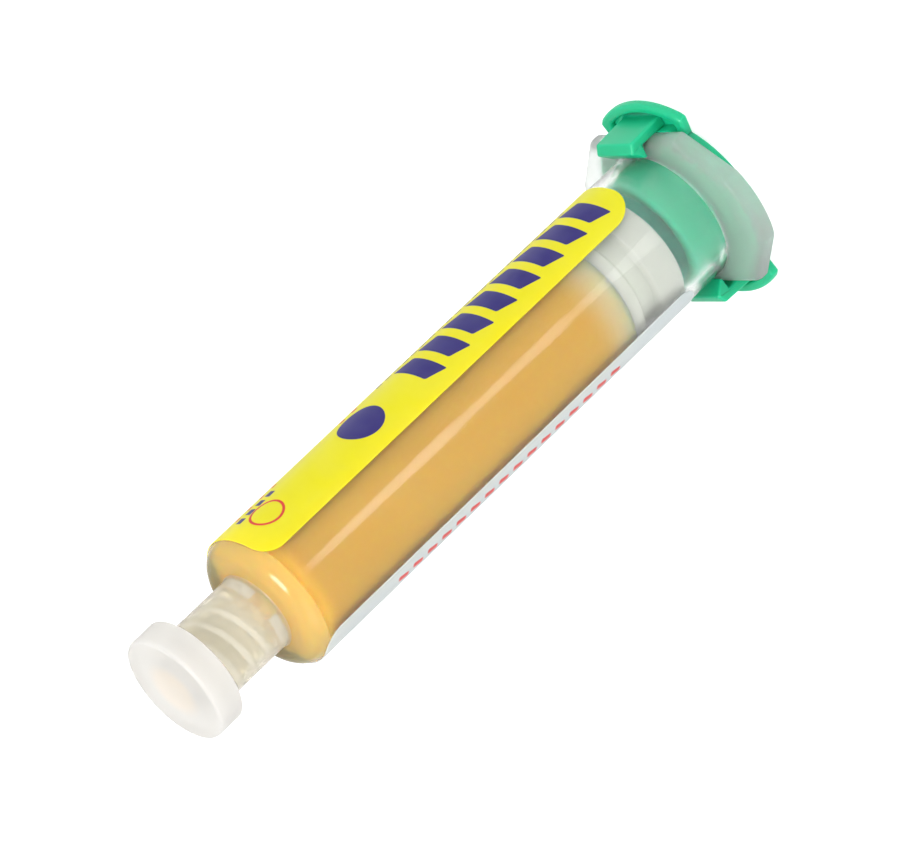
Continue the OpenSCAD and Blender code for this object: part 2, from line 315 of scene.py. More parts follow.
class Wire:
    """A small helper that adds nodes to one tree and joins them."""

    def __init__(self, tree: bpy.types.NodeTree) -> None:
        """Keeps the tree that nodes are added to."""
        self.tree = tree

    def feed(self, node: bpy.types.Node, inputs: Inputs) -> None:
        """Joins each of a node's inputs to its value where that is a socket, and otherwise sets it.

        Args:
            node: The node.
            inputs: Values by the inputs' names or numbers.
        """
        for key, value in inputs.items():
            if isinstance(value, bpy.types.NodeSocket):
                self.tree.links.new(value, node.inputs[key])
            else:
                node.inputs[key].default_value = value

    def add(self, kind: str, inputs: Inputs | None = None, **settings: object) -> bpy.types.Node:
        """Adds a node.

        Args:
            kind: The node's type.
            inputs: Sockets or values for its inputs.
            settings: Its plain properties.

        Returns:
            The new node.
        """
        node = self.tree.nodes.new(kind)
        for key, value in settings.items():
            setattr(node, key, value)
        self.feed(node, inputs or {})
        return node

    def math(self, operation: str, *values: object, clamp: bool = False) -> bpy.types.NodeSocket:
        """Adds a Math node and returns its result."""
        node = self.add("ShaderNodeMath", dict(enumerate(values)), operation=operation, use_clamp=clamp)
        return node.outputs[0]

    def mix(self, share: object, first: object, second: object) -> bpy.types.NodeSocket:
        """Adds a colour mix of first and second, and returns its colour."""
        return self.add("ShaderNodeMix", {"Factor": share, 6: first, 7: second}, data_type="RGBA").outputs[2]

    def ramp(
        self,
        value: object,
        low: float,
        high: float,
        start: float = 0.0,
        stop: float = 1.0,
        soft: bool = False,
    ) -> bpy.types.NodeSocket:
        """Adds a Map Range node.

        Args:
            value: What is mapped.
            low: The value up to which the start comes out.
            high: The value from which the stop comes out.
            start: What comes out at the low end.
            stop: What comes out at the high end.
            soft: True for a change without corners.

        Returns:
            The node's result.
        """
        given = {"Value": value, "From Min": low, "From Max": high, "To Min": start, "To Max": stop}
        kind = "SMOOTHSTEP" if soft else "LINEAR"
        return self.add("ShaderNodeMapRange", given, interpolation_type=kind).outputs["Result"]

    def parts(self, vector: bpy.types.NodeSocket) -> bpy.types.NodeOutputs:
        """Adds a node that takes a vector apart, and returns its outputs."""
        return self.add("ShaderNodeSeparateXYZ", {0: vector}).outputs

    def group(self, tree: bpy.types.NodeTree, **values: object) -> bpy.types.NodeOutputs:
        """Places a group with its inputs, whose names have underscores for spaces; returns its outputs."""
        given = {key.replace("_", " "): value for key, value in values.items()}
        return self.add("ShaderNodeGroup", given, node_tree=tree).outputs

    def bump(self, strength: float, distance: float, height: bpy.types.NodeSocket) -> bpy.types.NodeSocket:
        """Adds a Bump node, whose distance is in millimetres, and returns its normal."""
        given = {"Strength": strength, "Distance": distance * MM, "Height": height}
        return self.add("ShaderNodeBump", given).outputs["Normal"]


class ShaderGroups:
    """The shader groups that several materials share, each built once."""

    def __init__(self) -> None:
        """Builds every group."""
        self.grain = self._grain()
        self.cloud = self._cloud()
        self.block = self._block()

    @staticmethod
    def _new(
        name: str, inputs: dict[str, float], outputs: tuple[str, ...]
    ) -> tuple[Wire, bpy.types.NodeOutputs, bpy.types.Node]:
        """Starts a group that reads a vector and some numbers, and puts out numbers.

        Args:
            name: The group's name.
            inputs: Usual values of its number inputs, by name.
            outputs: Names of its outputs.

        Returns:
            The group's wire, the sockets that give its inputs, and its output node.
        """
        tree = bpy.data.node_groups.new(name, "ShaderNodeTree")
        tree.interface.new_socket(name="Vector", in_out="INPUT", socket_type="NodeSocketVector")
        for key, value in inputs.items():
            socket = tree.interface.new_socket(name=key, in_out="INPUT", socket_type="NodeSocketFloat")
            socket.default_value = value
        for key in outputs:
            tree.interface.new_socket(name=key, in_out="OUTPUT", socket_type="NodeSocketFloat")
        wire = Wire(tree)
        return wire, wire.add("NodeGroupInput").outputs, wire.add("NodeGroupOutput")

    def _grain(self) -> bpy.types.NodeTree:
        """Fine moulded grain: a height and a roughness that wander by a small amount round a middle value.

        Returns:
            The group.
        """
        usual = {"Scale": 900.0, "Roughness": 0.3, "Spread": 0.05}
        wire, given, target = self._new("moulded_grain", usual, ("Roughness", "Height"))
        place, scale = given["Vector"], given["Scale"]
        fine = wire.add("ShaderNodeTexNoise", {"Vector": place, "Scale": scale, "Detail": 3.0})
        slow = wire.math("MULTIPLY", scale, 0.12)
        broad = wire.add("ShaderNodeTexNoise", {"Vector": place, "Scale": slow})
        swing = wire.math("SUBTRACT", broad.outputs["Fac"], 0.5)
        rough = wire.math("MULTIPLY_ADD", swing, given["Spread"], given["Roughness"])
        wire.feed(target, {"Roughness": rough, "Height": fine.outputs["Fac"]})
        return wire.tree

    def _cloud(self) -> bpy.types.NodeTree:
        """Cloudiness of a natural plastic or paste: a soft mask drawn out along the moulding's axis.

        Returns:
            The group.
        """
        wire, given, target = self._new("cloudiness", {"Scale": 90.0, "Contrast": 1.0}, ("Mask",))
        drawn_out = {"Vector": given["Vector"], "Scale": (1.0, 1.0, 0.35)}
        place = wire.add("ShaderNodeMapping", drawn_out).outputs["Vector"]
        billows = {"Vector": place, "Scale": given["Scale"], "Detail": 2.0, "Distortion": 0.4}
        noise = wire.add("ShaderNodeTexNoise", billows)
        swing = wire.math("SUBTRACT", noise.outputs["Fac"], 0.5)
        wire.feed(target, {"Mask": wire.math("MULTIPLY_ADD", swing, given["Contrast"], 0.5, clamp=True)})
        return wire.tree

    def _block(self) -> bpy.types.NodeTree:
        """One printed block with round corners.

        The distance to the block is the length of the part of (place minus half size plus corner) above
        zero, plus the lesser of zero and its larger number, minus the corner. The mask is 1 inside, and
        fades over a sixteenth of a millimetre.

        Returns:
            The group.
        """
        usual = {"X": 0.0, "Y": 0.0, "Half Width": 1.0, "Half Height": 1.0, "Corner": 0.1, "Slant": 0.0}
        wire, given, target = self._new("printed_block", usual, ("Mask",))
        parts = wire.parts(given["Vector"])
        y = wire.math("SUBTRACT", parts["Y"], given["Y"])
        straight = wire.math("SUBTRACT", parts["X"], given["X"])
        x = wire.math("SUBTRACT", straight, wire.math("MULTIPLY", y, given["Slant"]))
        over = []
        for place, half in ((x, "Half Width"), (y, "Half Height")):
            core = wire.math("SUBTRACT", given[half], given["Corner"])
            over.append(wire.math("SUBTRACT", wire.math("ABSOLUTE", place), core))
        squares = []
        for value in over:
            outer = wire.math("MAXIMUM", value, 0.0)
            squares.append(wire.math("MULTIPLY", outer, outer))
        length = wire.math("SQRT", wire.math("ADD", *squares))
        inner = wire.math("MINIMUM", wire.math("MAXIMUM", *over), 0.0)
        distance = wire.math("SUBTRACT", wire.math("ADD", length, inner), given["Corner"])
        wire.feed(target, {"Mask": wire.math("MULTIPLY_ADD", distance, -16.0, 0.5, clamp=True)})
        return wire.tree


# Finishes


def new_material(name: str) -> tuple[bpy.types.Material, Wire, bpy.types.Node]:
    """Starts a material.

    Args:
        name: The material's name.

    Returns:
        The material, its wire and its shader.
    """
    material = bpy.data.materials.new(name)
    material.use_nodes = True
    return material, Wire(material.node_tree), material.node_tree.nodes["Principled BSDF"]


class Clarity(Enum):
    """How much light a plastic lets through, as the share that passes instead of scattering back."""

    CLEAR = 0.965
    FROSTED = 0.85
    HAZY = 0.7
    MILKY = 0.38
    SOLID = 0.0


@dataclass(frozen=True)
class Plastic:
    """A moulded plastic: its colours, gloss and clarity.

    Attributes:
        name: The material's name.
        colour: Its colour where it is clearest, linear red, green and blue.
        cloudy: Its colour where it is cloudiest.
        roughness: Middle roughness of the surface.
        clarity: How much light passes through it.
        scatter: Share of light that wanders under the surface.
        reach: How far it wanders, in millimetres.
        ior: Bending of light at the surface.
        bump: Height of the grain, in millimetres.
        bump_strength: How much of that height counts.
        grain_scale: Fineness of the grain.
        grain_spread: How much the roughness wanders with the grain.
        cloud_scale: Fineness of the clouds.
        cloud_contrast: How much the clouds stand out.
        coat: Strength of the glossy top layer.
        coat_roughness: Roughness of that layer.
        shine: Strength of the mirror image at the surface, where a half is usual.
        core: Colour near the axis, where the flux in the outlet shows through; None where none does.
        core_reach: Distance from the axis over which that colour fades, in millimetres.
    """

    name: str
    colour: Colour
    cloudy: Colour
    roughness: float
    clarity: Clarity
    scatter: float = 0.0
    reach: float = 1.0
    ior: float = 1.49
    bump: float = 0.002
    bump_strength: float = 0.5
    grain_scale: float = 1400.0
    grain_spread: float = 0.06
    cloud_scale: float = 110.0
    cloud_contrast: float = 1.6
    coat: float = 0.0
    coat_roughness: float = 0.07
    shine: float = 0.5
    core: Colour | None = None
    core_reach: float = 5.0

    def _with_core(self, wire: Wire, place: bpy.types.NodeSocket, colour: object) -> bpy.types.NodeSocket:
        """Mixes the core's colour in by the distance from the axis, which is the length of (x, y, 0).

        Args:
            wire: The material's wire.
            place: The place in object coordinates.
            colour: The colour away from the axis.

        Returns:
            The mixed colour.
        """
        flat = wire.add("ShaderNodeVectorMath", {0: place, 1: (1.0, 1.0, 0.0)}, operation="MULTIPLY")
        away = wire.add("ShaderNodeVectorMath", {0: flat.outputs["Vector"]}, operation="LENGTH")
        fade = wire.ramp(away.outputs["Value"], 0.5 * self.core_reach * MM, self.core_reach * MM, soft=True)
        return wire.mix(fade, (*self.core, 1.0), colour)

    def build(self, groups: ShaderGroups) -> bpy.types.Material:
        """Makes the material.

        Args:
            groups: The shared shader groups.

        Returns:
            The new material.
        """
        material, wire, shader = new_material(self.name)
        place = wire.add("ShaderNodeTexCoord").outputs["Object"]
        cloud = wire.group(groups.cloud, Vector=place, Scale=self.cloud_scale, Contrast=self.cloud_contrast)
        grain_look = {"Scale": self.grain_scale, "Roughness": self.roughness, "Spread": self.grain_spread}
        grain = wire.group(groups.grain, Vector=place, **grain_look)
        colour = wire.mix(cloud["Mask"], (*self.colour, 1.0), (*self.cloudy, 1.0))
        if self.core:
            colour = self._with_core(wire, place, colour)
        surface = {
            "Base Color": colour,
            "Roughness": grain["Roughness"],
            "Normal": wire.bump(self.bump_strength, self.bump, grain["Height"]),
            "IOR": self.ior,
            "Transmission Weight": self.clarity.value,
            "Specular IOR Level": self.shine,
            "Coat Weight": self.coat,
            "Coat Roughness": self.coat_roughness,
        }
        wire.feed(shader, surface)
        if self.scatter:
            wander = {
                "Subsurface Weight": self.scatter,
                "Subsurface Radius": (1.0, 1.0, 1.0),
                "Subsurface Scale": self.reach * MM,
            }
            wire.feed(shader, wander)
        return material


@dataclass(frozen=True)
class Paste:
    """The amber flux, a clear paste that light wanders through.

    Attributes:
        deep: Colour in the barrel.
        pale: Colour in the shoulder and the outlet, where more light comes in.
        thinnest: Colour at the piston's front lip, where the layer of flux is thin.
        cloudy: Colour of its faint clouds.
        clouds: Share of that colour where the clouds are thickest.
        cloud_scale: Fineness of the clouds.
        cloud_contrast: How much the clouds stand out.
        grain_scale: Fineness of its surface's grain.
        roughness: Middle roughness of its surface.
        grain_spread: How much the roughness wanders.
        reach: How far light wanders under the surface, in millimetres.
        reach_by_colour: Share of that reach for red, green and blue light.
        shine: Strength of the mirror image at the surface, where a half is usual.
        low: Height where the deep colour ends, in millimetres.
        high: Height where the pale colour is reached, in millimetres.
        lip: Height of the piston's front lip.
        thin_reach: Distance from the lip over which the thinnest colour fades.
    """

    deep: Colour = (0.7, 0.42, 0.048)
    pale: Colour = (0.96, 0.58, 0.06)
    thinnest: Colour = (0.72, 0.64, 0.4)
    cloudy: Colour = (0.86, 0.6, 0.16)
    clouds: float = 0.18
    cloud_scale: float = 130.0
    cloud_contrast: float = 1.8
    grain_scale: float = 500.0
    roughness: float = 0.4
    grain_spread: float = 0.1
    reach: float = 4.0
    reach_by_colour: Colour = (1.0, 0.62, 0.2)
    shine: float = 0.1
    low: float = 75.5
    high: float = 78.5
    lip: float = 21.4
    thin_reach: float = 6.5

    def build(self, groups: ShaderGroups) -> bpy.types.Material:
        """Makes the material: its colour changes along the axis, with faint clouds.

        Args:
            groups: The shared shader groups.

        Returns:
            The new material.
        """
        material, wire, shader = new_material("amber_flux")
        place = wire.add("ShaderNodeTexCoord").outputs["Object"]
        height = wire.parts(place)["Z"]
        share = wire.ramp(height, self.low * MM, self.high * MM)
        thin = wire.ramp(height, self.lip * MM, (self.lip + self.thin_reach) * MM, soft=True)
        long = wire.mix(share, (*self.deep, 1.0), (*self.pale, 1.0))
        along = wire.mix(thin, (*self.thinnest, 1.0), long)
        cloud = wire.group(groups.cloud, Vector=place, Scale=self.cloud_scale, Contrast=self.cloud_contrast)
        soft = wire.math("MULTIPLY", cloud["Mask"], self.clouds)
        grain_look = {"Scale": self.grain_scale, "Roughness": self.roughness, "Spread": self.grain_spread}
        grain = wire.group(groups.grain, Vector=place, **grain_look)
        surface = {
            "Base Color": wire.mix(soft, along, (*self.cloudy, 1.0)),
            "Roughness": grain["Roughness"],
            "Subsurface Weight": 1.0,
            "Subsurface Radius": self.reach_by_colour,
            "Subsurface Scale": self.reach * MM,
            "Specular IOR Level": self.shine,
        }
        wire.feed(shader, surface)
        return material


@dataclass(frozen=True)
class PrintedBlock:
    """One printed shape on the label, or a row of copies along it, in millimetres from the label's corner.

    Attributes:
        x: Middle of the shape round the barrel.
        y: Middle of the shape, or of the first copy, along the barrel.
        half_width: Half its size round the barrel.
        half_height: Half its size along the barrel.
        corner: Radius of its corners.
        ink: Its colour.
        slant: How far it leans round the barrel for each millimetre along it.
        pitch: Distance between copies; 0 for a shape that stands alone.
        copies: Number of copies in a row.
    """

    x: float
    y: float
    half_width: float
    half_height: float
    corner: float
    ink: Colour
    slant: float = 0.0
    pitch: float = 0.0
    copies: int = 1

    def _mask_at(
        self, wire: Wire, groups: ShaderGroups, place: bpy.types.NodeSocket, y: float
    ) -> bpy.types.NodeSocket:
        """Returns the mask of one shape whose middle along the barrel is y."""
        size = {"Half_Width": self.half_width, "Half_Height": self.half_height, "Corner": self.corner}
        return wire.group(groups.block, Vector=place, X=self.x, Y=y, Slant=self.slant, **size)["Mask"]

    def mask(self, wire: Wire, groups: ShaderGroups, place: bpy.types.NodeSocket) -> bpy.types.NodeSocket:
        """Adds the shape's mask to a material.

        A row folds the place along the barrel with the remainder of its pitch, and is cut to its length.

        Args:
            wire: The material's wire.
            groups: The shared shader groups.
            place: The place on the label, in millimetres.

        Returns:
            The mask, which is 1 inside.
        """
        if not self.pitch:
            return self._mask_at(wire, groups, place, self.y)
        half = self.pitch / 2.0
        parts = wire.parts(place)
        run = wire.math("SUBTRACT", parts["Y"], self.y - half)
        within = wire.math("SUBTRACT", wire.math("FLOORED_MODULO", run, self.pitch), half)
        folded = wire.add("ShaderNodeCombineXYZ", {"X": parts["X"], "Y": within}).outputs[0]
        one = self._mask_at(wire, groups, folded, 0.0)
        started = wire.math("GREATER_THAN", run, 0.0)
        going = wire.math("LESS_THAN", run, self.pitch * self.copies)
        return wire.math("MULTIPLY", one, wire.math("MULTIPLY", started, going))


@dataclass(frozen=True)
class Film:
    """The label's printed film: a yellow field, a pale field and plain printed shapes.

    Attributes:
        width: The label's reach round the barrel, in millimetres.
        length: Its length along the barrel.
        split: Where the pale field starts, in millimetres round the barrel.
        panel: Colour of the empty frame's inside.
        worn: Colour that the print fades to, and wear the share of it where the print is faintest.
        roughness: Middle roughness of the film.
        bump: Height of its grain, in millimetres.
        reach: How far light wanders under its surface, in millimetres.
        shine: Strength of the mirror image at the surface, where a half is usual.
        coat: Strength of the glossy top layer, and coat_roughness its roughness.
    """

    width: float
    length: float
    split: float
    yellow: Colour = (0.86, 0.72, 0.006)
    pale: Colour = (0.5, 0.56, 0.57)
    navy: Colour = (0.018, 0.012, 0.15)
    red: Colour = (0.62, 0.03, 0.025)
    panel: Colour = (0.86, 0.88, 0.9)
    worn: Colour = (1.0, 1.0, 0.9)
    wear: float = 0.04
    roughness: float = 0.38
    bump: float = 0.004
    reach: float = 0.5
    shine: float = 0.18
    coat: float = 0.08
    coat_roughness: float = 0.1

    def _field(self) -> PrintedBlock:
        """The pale field.

        Returns:
            A block that runs from the split past the label's other edges.
        """
        past = 1.0
        half = (self.width - self.split) / 2.0
        middle = self.width - half + past
        return PrintedBlock(middle, self.length / 2.0, half + past, self.length, 0.0, self.pale)

    def _near_shapes(self) -> list[PrintedBlock]:
        """The shapes beside the window: slanted blocks, a disc, a ring and small squares.

        Returns:
            The shapes, in the order in which they are printed.
        """
        navy, red, yellow = self.navy, self.red, self.yellow
        found = [PrintedBlock(5.5, 4.6 + 4.35 * step, 3.0, 1.45, 0.25, navy, 0.35) for step in range(8)]
        found.append(PrintedBlock(5.4, 45.6, 3.1, 3.1, 3.1, navy))
        found.append(PrintedBlock(5.2, 62.4, 2.3, 2.3, 2.3, red))
        found.append(PrintedBlock(5.2, 62.4, 1.95, 1.95, 1.95, yellow))
        found.extend(PrintedBlock(8.1, 59.3 + 1.7 * step, 0.55, 0.55, 0.15, navy) for step in range(4))
        found.extend(PrintedBlock(9.6, 57.6 + 2.1 * step, 0.4, 0.4, 0.15, red) for step in range(4))
        found.extend(PrintedBlock(9.4, 43.4 + 2.1 * step, 0.35, 0.5, 0.1, red) for step in range(2))
        return found

    def _far_shapes(self) -> list[PrintedBlock]:
        """The frames on the yellow field's hidden part: one round a navy bar, one round a pale panel.

        Returns:
            The shapes, in the order in which they are printed.
        """
        return [
            PrintedBlock(19.0, 16.0, 6.0, 8.0, 0.8, self.navy),
            PrintedBlock(19.0, 16.0, 5.6, 7.6, 0.5, self.yellow),
            PrintedBlock(16.6, 16.0, 2.2, 6.6, 0.3, self.navy),
            PrintedBlock(19.2, 58.0, 5.8, 4.2, 0.4, self.navy),
            PrintedBlock(19.2, 58.0, 5.4, 3.8, 0.3, self.panel),
        ]

    def _rows(self) -> list[PrintedBlock]:
        """The rows of dashes that stand for lines of small print.

        Returns:
            The rows, whose numbers are listed as middle round and along the barrel, half width, half
            height, pitch and copies where only those differ.
        """
        rows = [PrintedBlock(9.75, 5.0, 0.28, 0.55, 0.1, self.navy, pitch=1.6, copies=22)]
        rows.append(PrintedBlock(43.0, 15.0, 0.55, 0.9, 0.3, self.red, 0.3, pitch=2.6, copies=16))
        for x, y, half_width, half_height, pitch, copies in (
            (38.4, 8.0, 0.25, 0.8, 2.0, 26),
            (36.2, 8.0, 0.25, 0.6, 1.6, 30),
            (34.0, 8.0, 0.25, 0.9, 2.3, 20),
            (21.4, 10.5, 0.22, 0.7, 1.9, 6),
            (23.0, 10.5, 0.22, 0.5, 1.4, 8),
            (17.0, 28.5, 0.3, 0.8, 2.1, 11),
            (19.2, 28.5, 0.3, 0.6, 1.7, 13),
            (21.4, 28.5, 0.3, 0.9, 2.4, 9),
        ):
            rows.append(PrintedBlock(x, y, half_width, half_height, 0.1, self.navy, 0.0, pitch, copies))
        return rows

    def build(self, groups: ShaderGroups) -> bpy.types.Material:
        """Makes the material from the piece's own UV map, which covers the film once.

        Args:
            groups: The shared shader groups.

        Returns:
            The new material.
        """
        material, wire, shader = new_material("printed_film")
        share = wire.add("ShaderNodeUVMap", uv_map="film").outputs["UV"]
        size = (self.width, self.length, 1.0)
        place = wire.add("ShaderNodeMapping", {"Vector": share, "Scale": size}).outputs["Vector"]
        colour = (*self.yellow, 1.0)
        for shape in [self._field(), *self._near_shapes(), *self._far_shapes(), *self._rows()]:
            colour = wire.mix(shape.mask(wire, groups, place), colour, (*shape.ink, 1.0))
        cloud = wire.group(groups.cloud, Vector=place, Scale=0.22, Contrast=1.2)
        wear = wire.math("MULTIPLY", cloud["Mask"], self.wear)
        grain = wire.group(groups.grain, Vector=place, Scale=1.6, Roughness=self.roughness, Spread=0.08)
        surface = {
            "Base Color": wire.mix(wear, colour, (*self.worn, 1.0)),
            "Roughness": grain["Roughness"],
            "Normal": wire.bump(0.15, self.bump, grain["Height"]),
            "Subsurface Weight": 1.0,
            "Subsurface Radius": (1.0, 1.0, 1.0),
            "Subsurface Scale": self.reach * MM,
            "Specular IOR Level": self.shine,
            "Coat Weight": self.coat,
            "Coat Roughness": self.coat_roughness,
        }
        wire.feed(shader, surface)
        return material


# Sub-assemblies


@dataclass
class Barrel:
    """The barrel: flange, wall, shoulder, lock collar with its thread, and outlet cone.

    A size whose name ends in round or fillet is the radius of that edge.

    Attributes:
        back: Height of the flange's back, and flange_front of its front.
        flange_end: Reach of the ears along X.
        flat_y: Distance of the flat sides from the axis.
        ear_cut: Distance of the four straight cuts from the axis, which face ear_cut_angle.
        facet_start: Distance along X from which the ears' front falls by facet_slope, at most down to
            facet_least above the back.
        wall_low: Height of the plain wall's first ring, and wall_high of its last.
        inner_floor: Height of the floor cone at the wall, and inner_top at the outlet.
        cone_slope: Growth of the luer cone's radius for each millimetre below its end.
        thread_foot: Half the width of the thread's foot as a share of its pitch, and thread_flank its
            flank's.
        thread_fade: Height over which the thread fades out at both ends, and thread_floor how far above
            the collar's floor it starts.
    """

    radius: float = 9.2
    bore: float = 7.95
    bore_edge: float = 0.25
    back: float = 1.9
    flange_front: float = 4.6
    flange_end: float = 15.5
    flat_y: float = 10.75
    ear_radius: float = 12.0
    ear_cut: float = 13.65
    ear_cut_angle: float = 45.0
    front_round: float = 1.7
    back_round: float = 0.3
    facet_start: float = 12.8
    facet_slope: float = 0.45 / 2.7
    facet_least: float = 1.0
    fillet: float = 0.3
    wall_low: float = 6.0
    wall_high: float = 76.0
    shoulder: float = 80.6
    shoulder_round: float = 2.4
    collar: float = 5.2
    collar_bore: float = 4.15
    collar_end: float = 90.9
    collar_round: float = 0.25
    collar_mouth_round: float = 0.2
    collar_floor: float = 82.1
    cone_end: float = 93.0
    cone_radius: float = 1.98
    cone_slope: float = 0.03
    cone_round: float = 0.15
    cone_fillet: float = 0.2
    outlet: float = 1.25
    outlet_edge: float = 0.05
    inner_floor: float = 77.0
    inner_top: float = 79.2
    inner_round: float = 1.0
    thread_depth: float = 0.42
    thread_pitch: float = 2.5
    thread_phase: float = 2.05
    thread_foot: float = 0.2
    thread_flank: float = 0.07
    thread_fade: float = 0.6
    thread_floor: float = 0.8
    turns: int = 360

    def ear_outline(self, angle: np.ndarray, inset: np.ndarray | float) -> np.ndarray:
        """Distance from the axis to the flange's outline, drawn in by inset.

        Along an angle, an ear of radius r round (c, 0) is met at c cos plus the root of (r squared minus c
        squared sin squared), a flat side at its distance over the sine, and a straight cut that faces the
        angle b at its distance over (cos b cos plus sin b sin). The nearest of them counts.

        Args:
            angle: Angles in radians.
            inset: How far the outline is drawn in.

        Returns:
            The distances, of the same shape as angle and inset together.
        """
        reach = self.flange_end - self.ear_radius
        across, along = np.abs(np.cos(angle)), np.abs(np.sin(angle))
        root = np.sqrt(np.maximum((self.ear_radius - inset) ** 2 - (reach * along) ** 2, 0.0))
        flat = (self.flat_y - inset) / np.maximum(along, 1e-6)
        facing = math.radians(self.ear_cut_angle)
        cut = (self.ear_cut - inset) / (math.cos(facing) * across + math.sin(facing) * along)
        return np.minimum(np.minimum(reach * across + root, flat), cut)

    def inner_corner(self) -> np.ndarray:
        """Points of the bore's end: the shallow cone down to the rounded corner and the bore's wall.

        A round of radius r that touches the cone and the wall, where the cone falls by an angle s, has its
        centre r inside the wall and r times the tangent of half (90 degrees minus s) below the floor.

        Returns:
            The points, from the outlet to the wall.
        """
        slope = math.degrees(math.atan((self.inner_top - self.inner_floor) / (self.bore - self.outlet)))
        reach = self.inner_round * math.tan(math.radians((90.0 - slope) / 2.0))
        centre = (self.bore - self.inner_round, self.inner_floor - reach)
        corner = arc(centre, self.inner_round, 90.0 - slope, 0.0, 7)
        return tidy_path(line((self.outlet, self.inner_top), tuple(corner[0]), 5), corner)

    def _flange(self, angle: np.ndarray) -> tuple[np.ndarray, np.ndarray]:
        """Rings of the flange, from the bore's back edge out over the ears to the wall's foot.

        Args:
            angle: The turn's angles in radians, as a column.

        Returns:
            Radius and height of the rings, with one row for each angle.
        """
        quarter = np.radians(np.linspace(0.0, 90.0, 9))
        small = np.radians(np.linspace(0.0, 90.0, 4))[1:]
        growing = np.linspace(0.0, 1.0, 9)[1:]
        falling = 1.0 - np.linspace(0.0, 1.0, 13)[1:]
        rim_back = self.ear_outline(angle, self.back_round)
        rim_front = self.ear_outline(angle, self.front_round)
        inside, foot = self.bore + self.bore_edge, self.radius + self.fillet
        radii = side_by_side(
            self.turns,
            np.array([self.bore, inside]),
            inside + growing * (rim_back - inside),
            self.ear_outline(angle, self.back_round * (1.0 - np.sin(small))),
            self.ear_outline(angle, self.front_round * (1.0 - np.cos(quarter))),
            foot + falling * (rim_front - foot),
        )
        heights = side_by_side(
            self.turns,
            np.array([self.back + self.bore_edge, self.back]),
            np.full(len(growing), self.back),
            self.back + self.back_round * (1.0 - np.cos(small)),
            self.flange_front - self.front_round * (1.0 - np.sin(quarter)),
            np.full(len(falling), self.flange_front),
        )
        reach = np.maximum(np.abs(radii * np.cos(angle)) - self.facet_start, 0.0)
        facet = np.maximum(self.flange_front - reach * self.facet_slope, self.back + self.facet_least)
        return radii, np.minimum(heights, facet)

    def _outside(self) -> np.ndarray:
        """Path from the wall's foot over the shoulder and the collar to the collar's mouth.

        Returns:
            The path's points, as radius and height.
        """
        fillet, collar_round, mouth = self.fillet, self.collar_round, self.collar_mouth_round
        inner, top = self.radius - self.shoulder_round, self.collar_end - 2.0 * collar_round
        return tidy_path(
            arc((self.radius + fillet, self.flange_front + fillet), fillet, 270.0, 180.0, 4)[1:],
            line((self.radius, self.wall_low), (self.radius, self.wall_high), 14),
            arc((inner, self.shoulder - self.shoulder_round), self.shoulder_round, 0.0, 90.0, 12),
            line((inner - 0.2, self.shoulder), (self.collar + fillet + 0.1, self.shoulder), 2),
            arc((self.collar + fillet, self.shoulder + fillet), fillet, 270.0, 180.0, 4),
            line((self.collar, self.shoulder + 2.0 * fillet), (self.collar, top), 8),
            arc((self.collar - collar_round, self.collar_end - collar_round), collar_round, 0.0, 90.0, 4),
            arc((self.collar_bore + mouth, self.collar_end - mouth), mouth, 90.0, 180.0, 3),
        )

    def _inside(self) -> np.ndarray:
        """Path from the collar's floor over the luer cone and down the outlet and the bore.

        Returns:
            The path's points, as radius and height.
        """
        low, cone, edge = self.collar_round, self.cone_fillet, self.outlet_edge
        base = self.cone_radius + (self.cone_end - self.collar_floor) * self.cone_slope
        tip = (self.cone_radius - self.cone_round, self.cone_end - self.cone_round)
        return tidy_path(
            arc((self.collar_bore - low, self.collar_floor + low), low, 0.0, -90.0, 3),
            arc((base + cone, self.collar_floor + cone), cone, 270.0, 180.0, 3),
            line((base, self.collar_floor + 2.0 * cone), (self.cone_radius + 0.01, self.cone_end - 0.3), 9),
            arc(tip, self.cone_round, 0.0, 90.0, 3),
            line((self.outlet + edge, self.cone_end), (self.outlet, self.cone_end - edge), 1),
            line((self.outlet, self.cone_end - 1.0), (self.outlet, self.inner_top + 0.1), 10),
            self.inner_corner(),
            line((self.bore, self.inner_floor - 2.0), (self.bore, self.back + 2.0), 14),
        )

    def _thread(self, angle: np.ndarray) -> tuple[np.ndarray, np.ndarray]:
        """The collar's bore with its two-start thread.

        The thread lowers the bore by its depth times a flat-topped wave of (height minus lead times the
        turn), which repeats each pitch, and fades out at both ends.

        Args:
            angle: The turn's angles in radians, as a column.

        Returns:
            Radius and height, with one row for each angle, from the mouth down to the floor.
        """
        height = np.linspace(self.collar_end - 0.4, self.collar_floor + 0.3, 62)
        climb = 2.0 * self.thread_pitch * np.degrees(angle) / 360.0
        phase = ((height[None] - climb - self.thread_phase) / self.thread_pitch + 0.5) % 1.0 - 0.5
        wave = np.clip((self.thread_foot - np.abs(phase)) / self.thread_flank, 0.0, 1.0)
        top = np.clip((self.collar_end - self.thread_fade - height) / self.thread_fade, 0.0, 1.0)
        low = np.clip((height - self.collar_floor - self.thread_floor) / self.thread_fade, 0.0, 1.0)
        radius = self.collar_bore - self.thread_depth * wave * (top * low)[None]
        return radius, np.broadcast_to(height, radius.shape)

    def skin(self) -> Skin:
        """Builds the closed surface: rings of the flange's outline, then rings of revolution.

        Returns:
            The barrel's surface.
        """
        angle = np.linspace(0.0, 2.0 * math.pi, self.turns, endpoint=False)[:, None]
        flange_r, flange_z = self._flange(angle)
        thread_r, thread_z = self._thread(angle)
        outside, inside = self._outside(), self._inside()
        radius = side_by_side(self.turns, flange_r, outside[:, 0], thread_r, inside[:, 0])
        height = side_by_side(self.turns, flange_z, outside[:, 1], thread_z, inside[:, 1])
        return turned_grid(radius, height, closed=True)

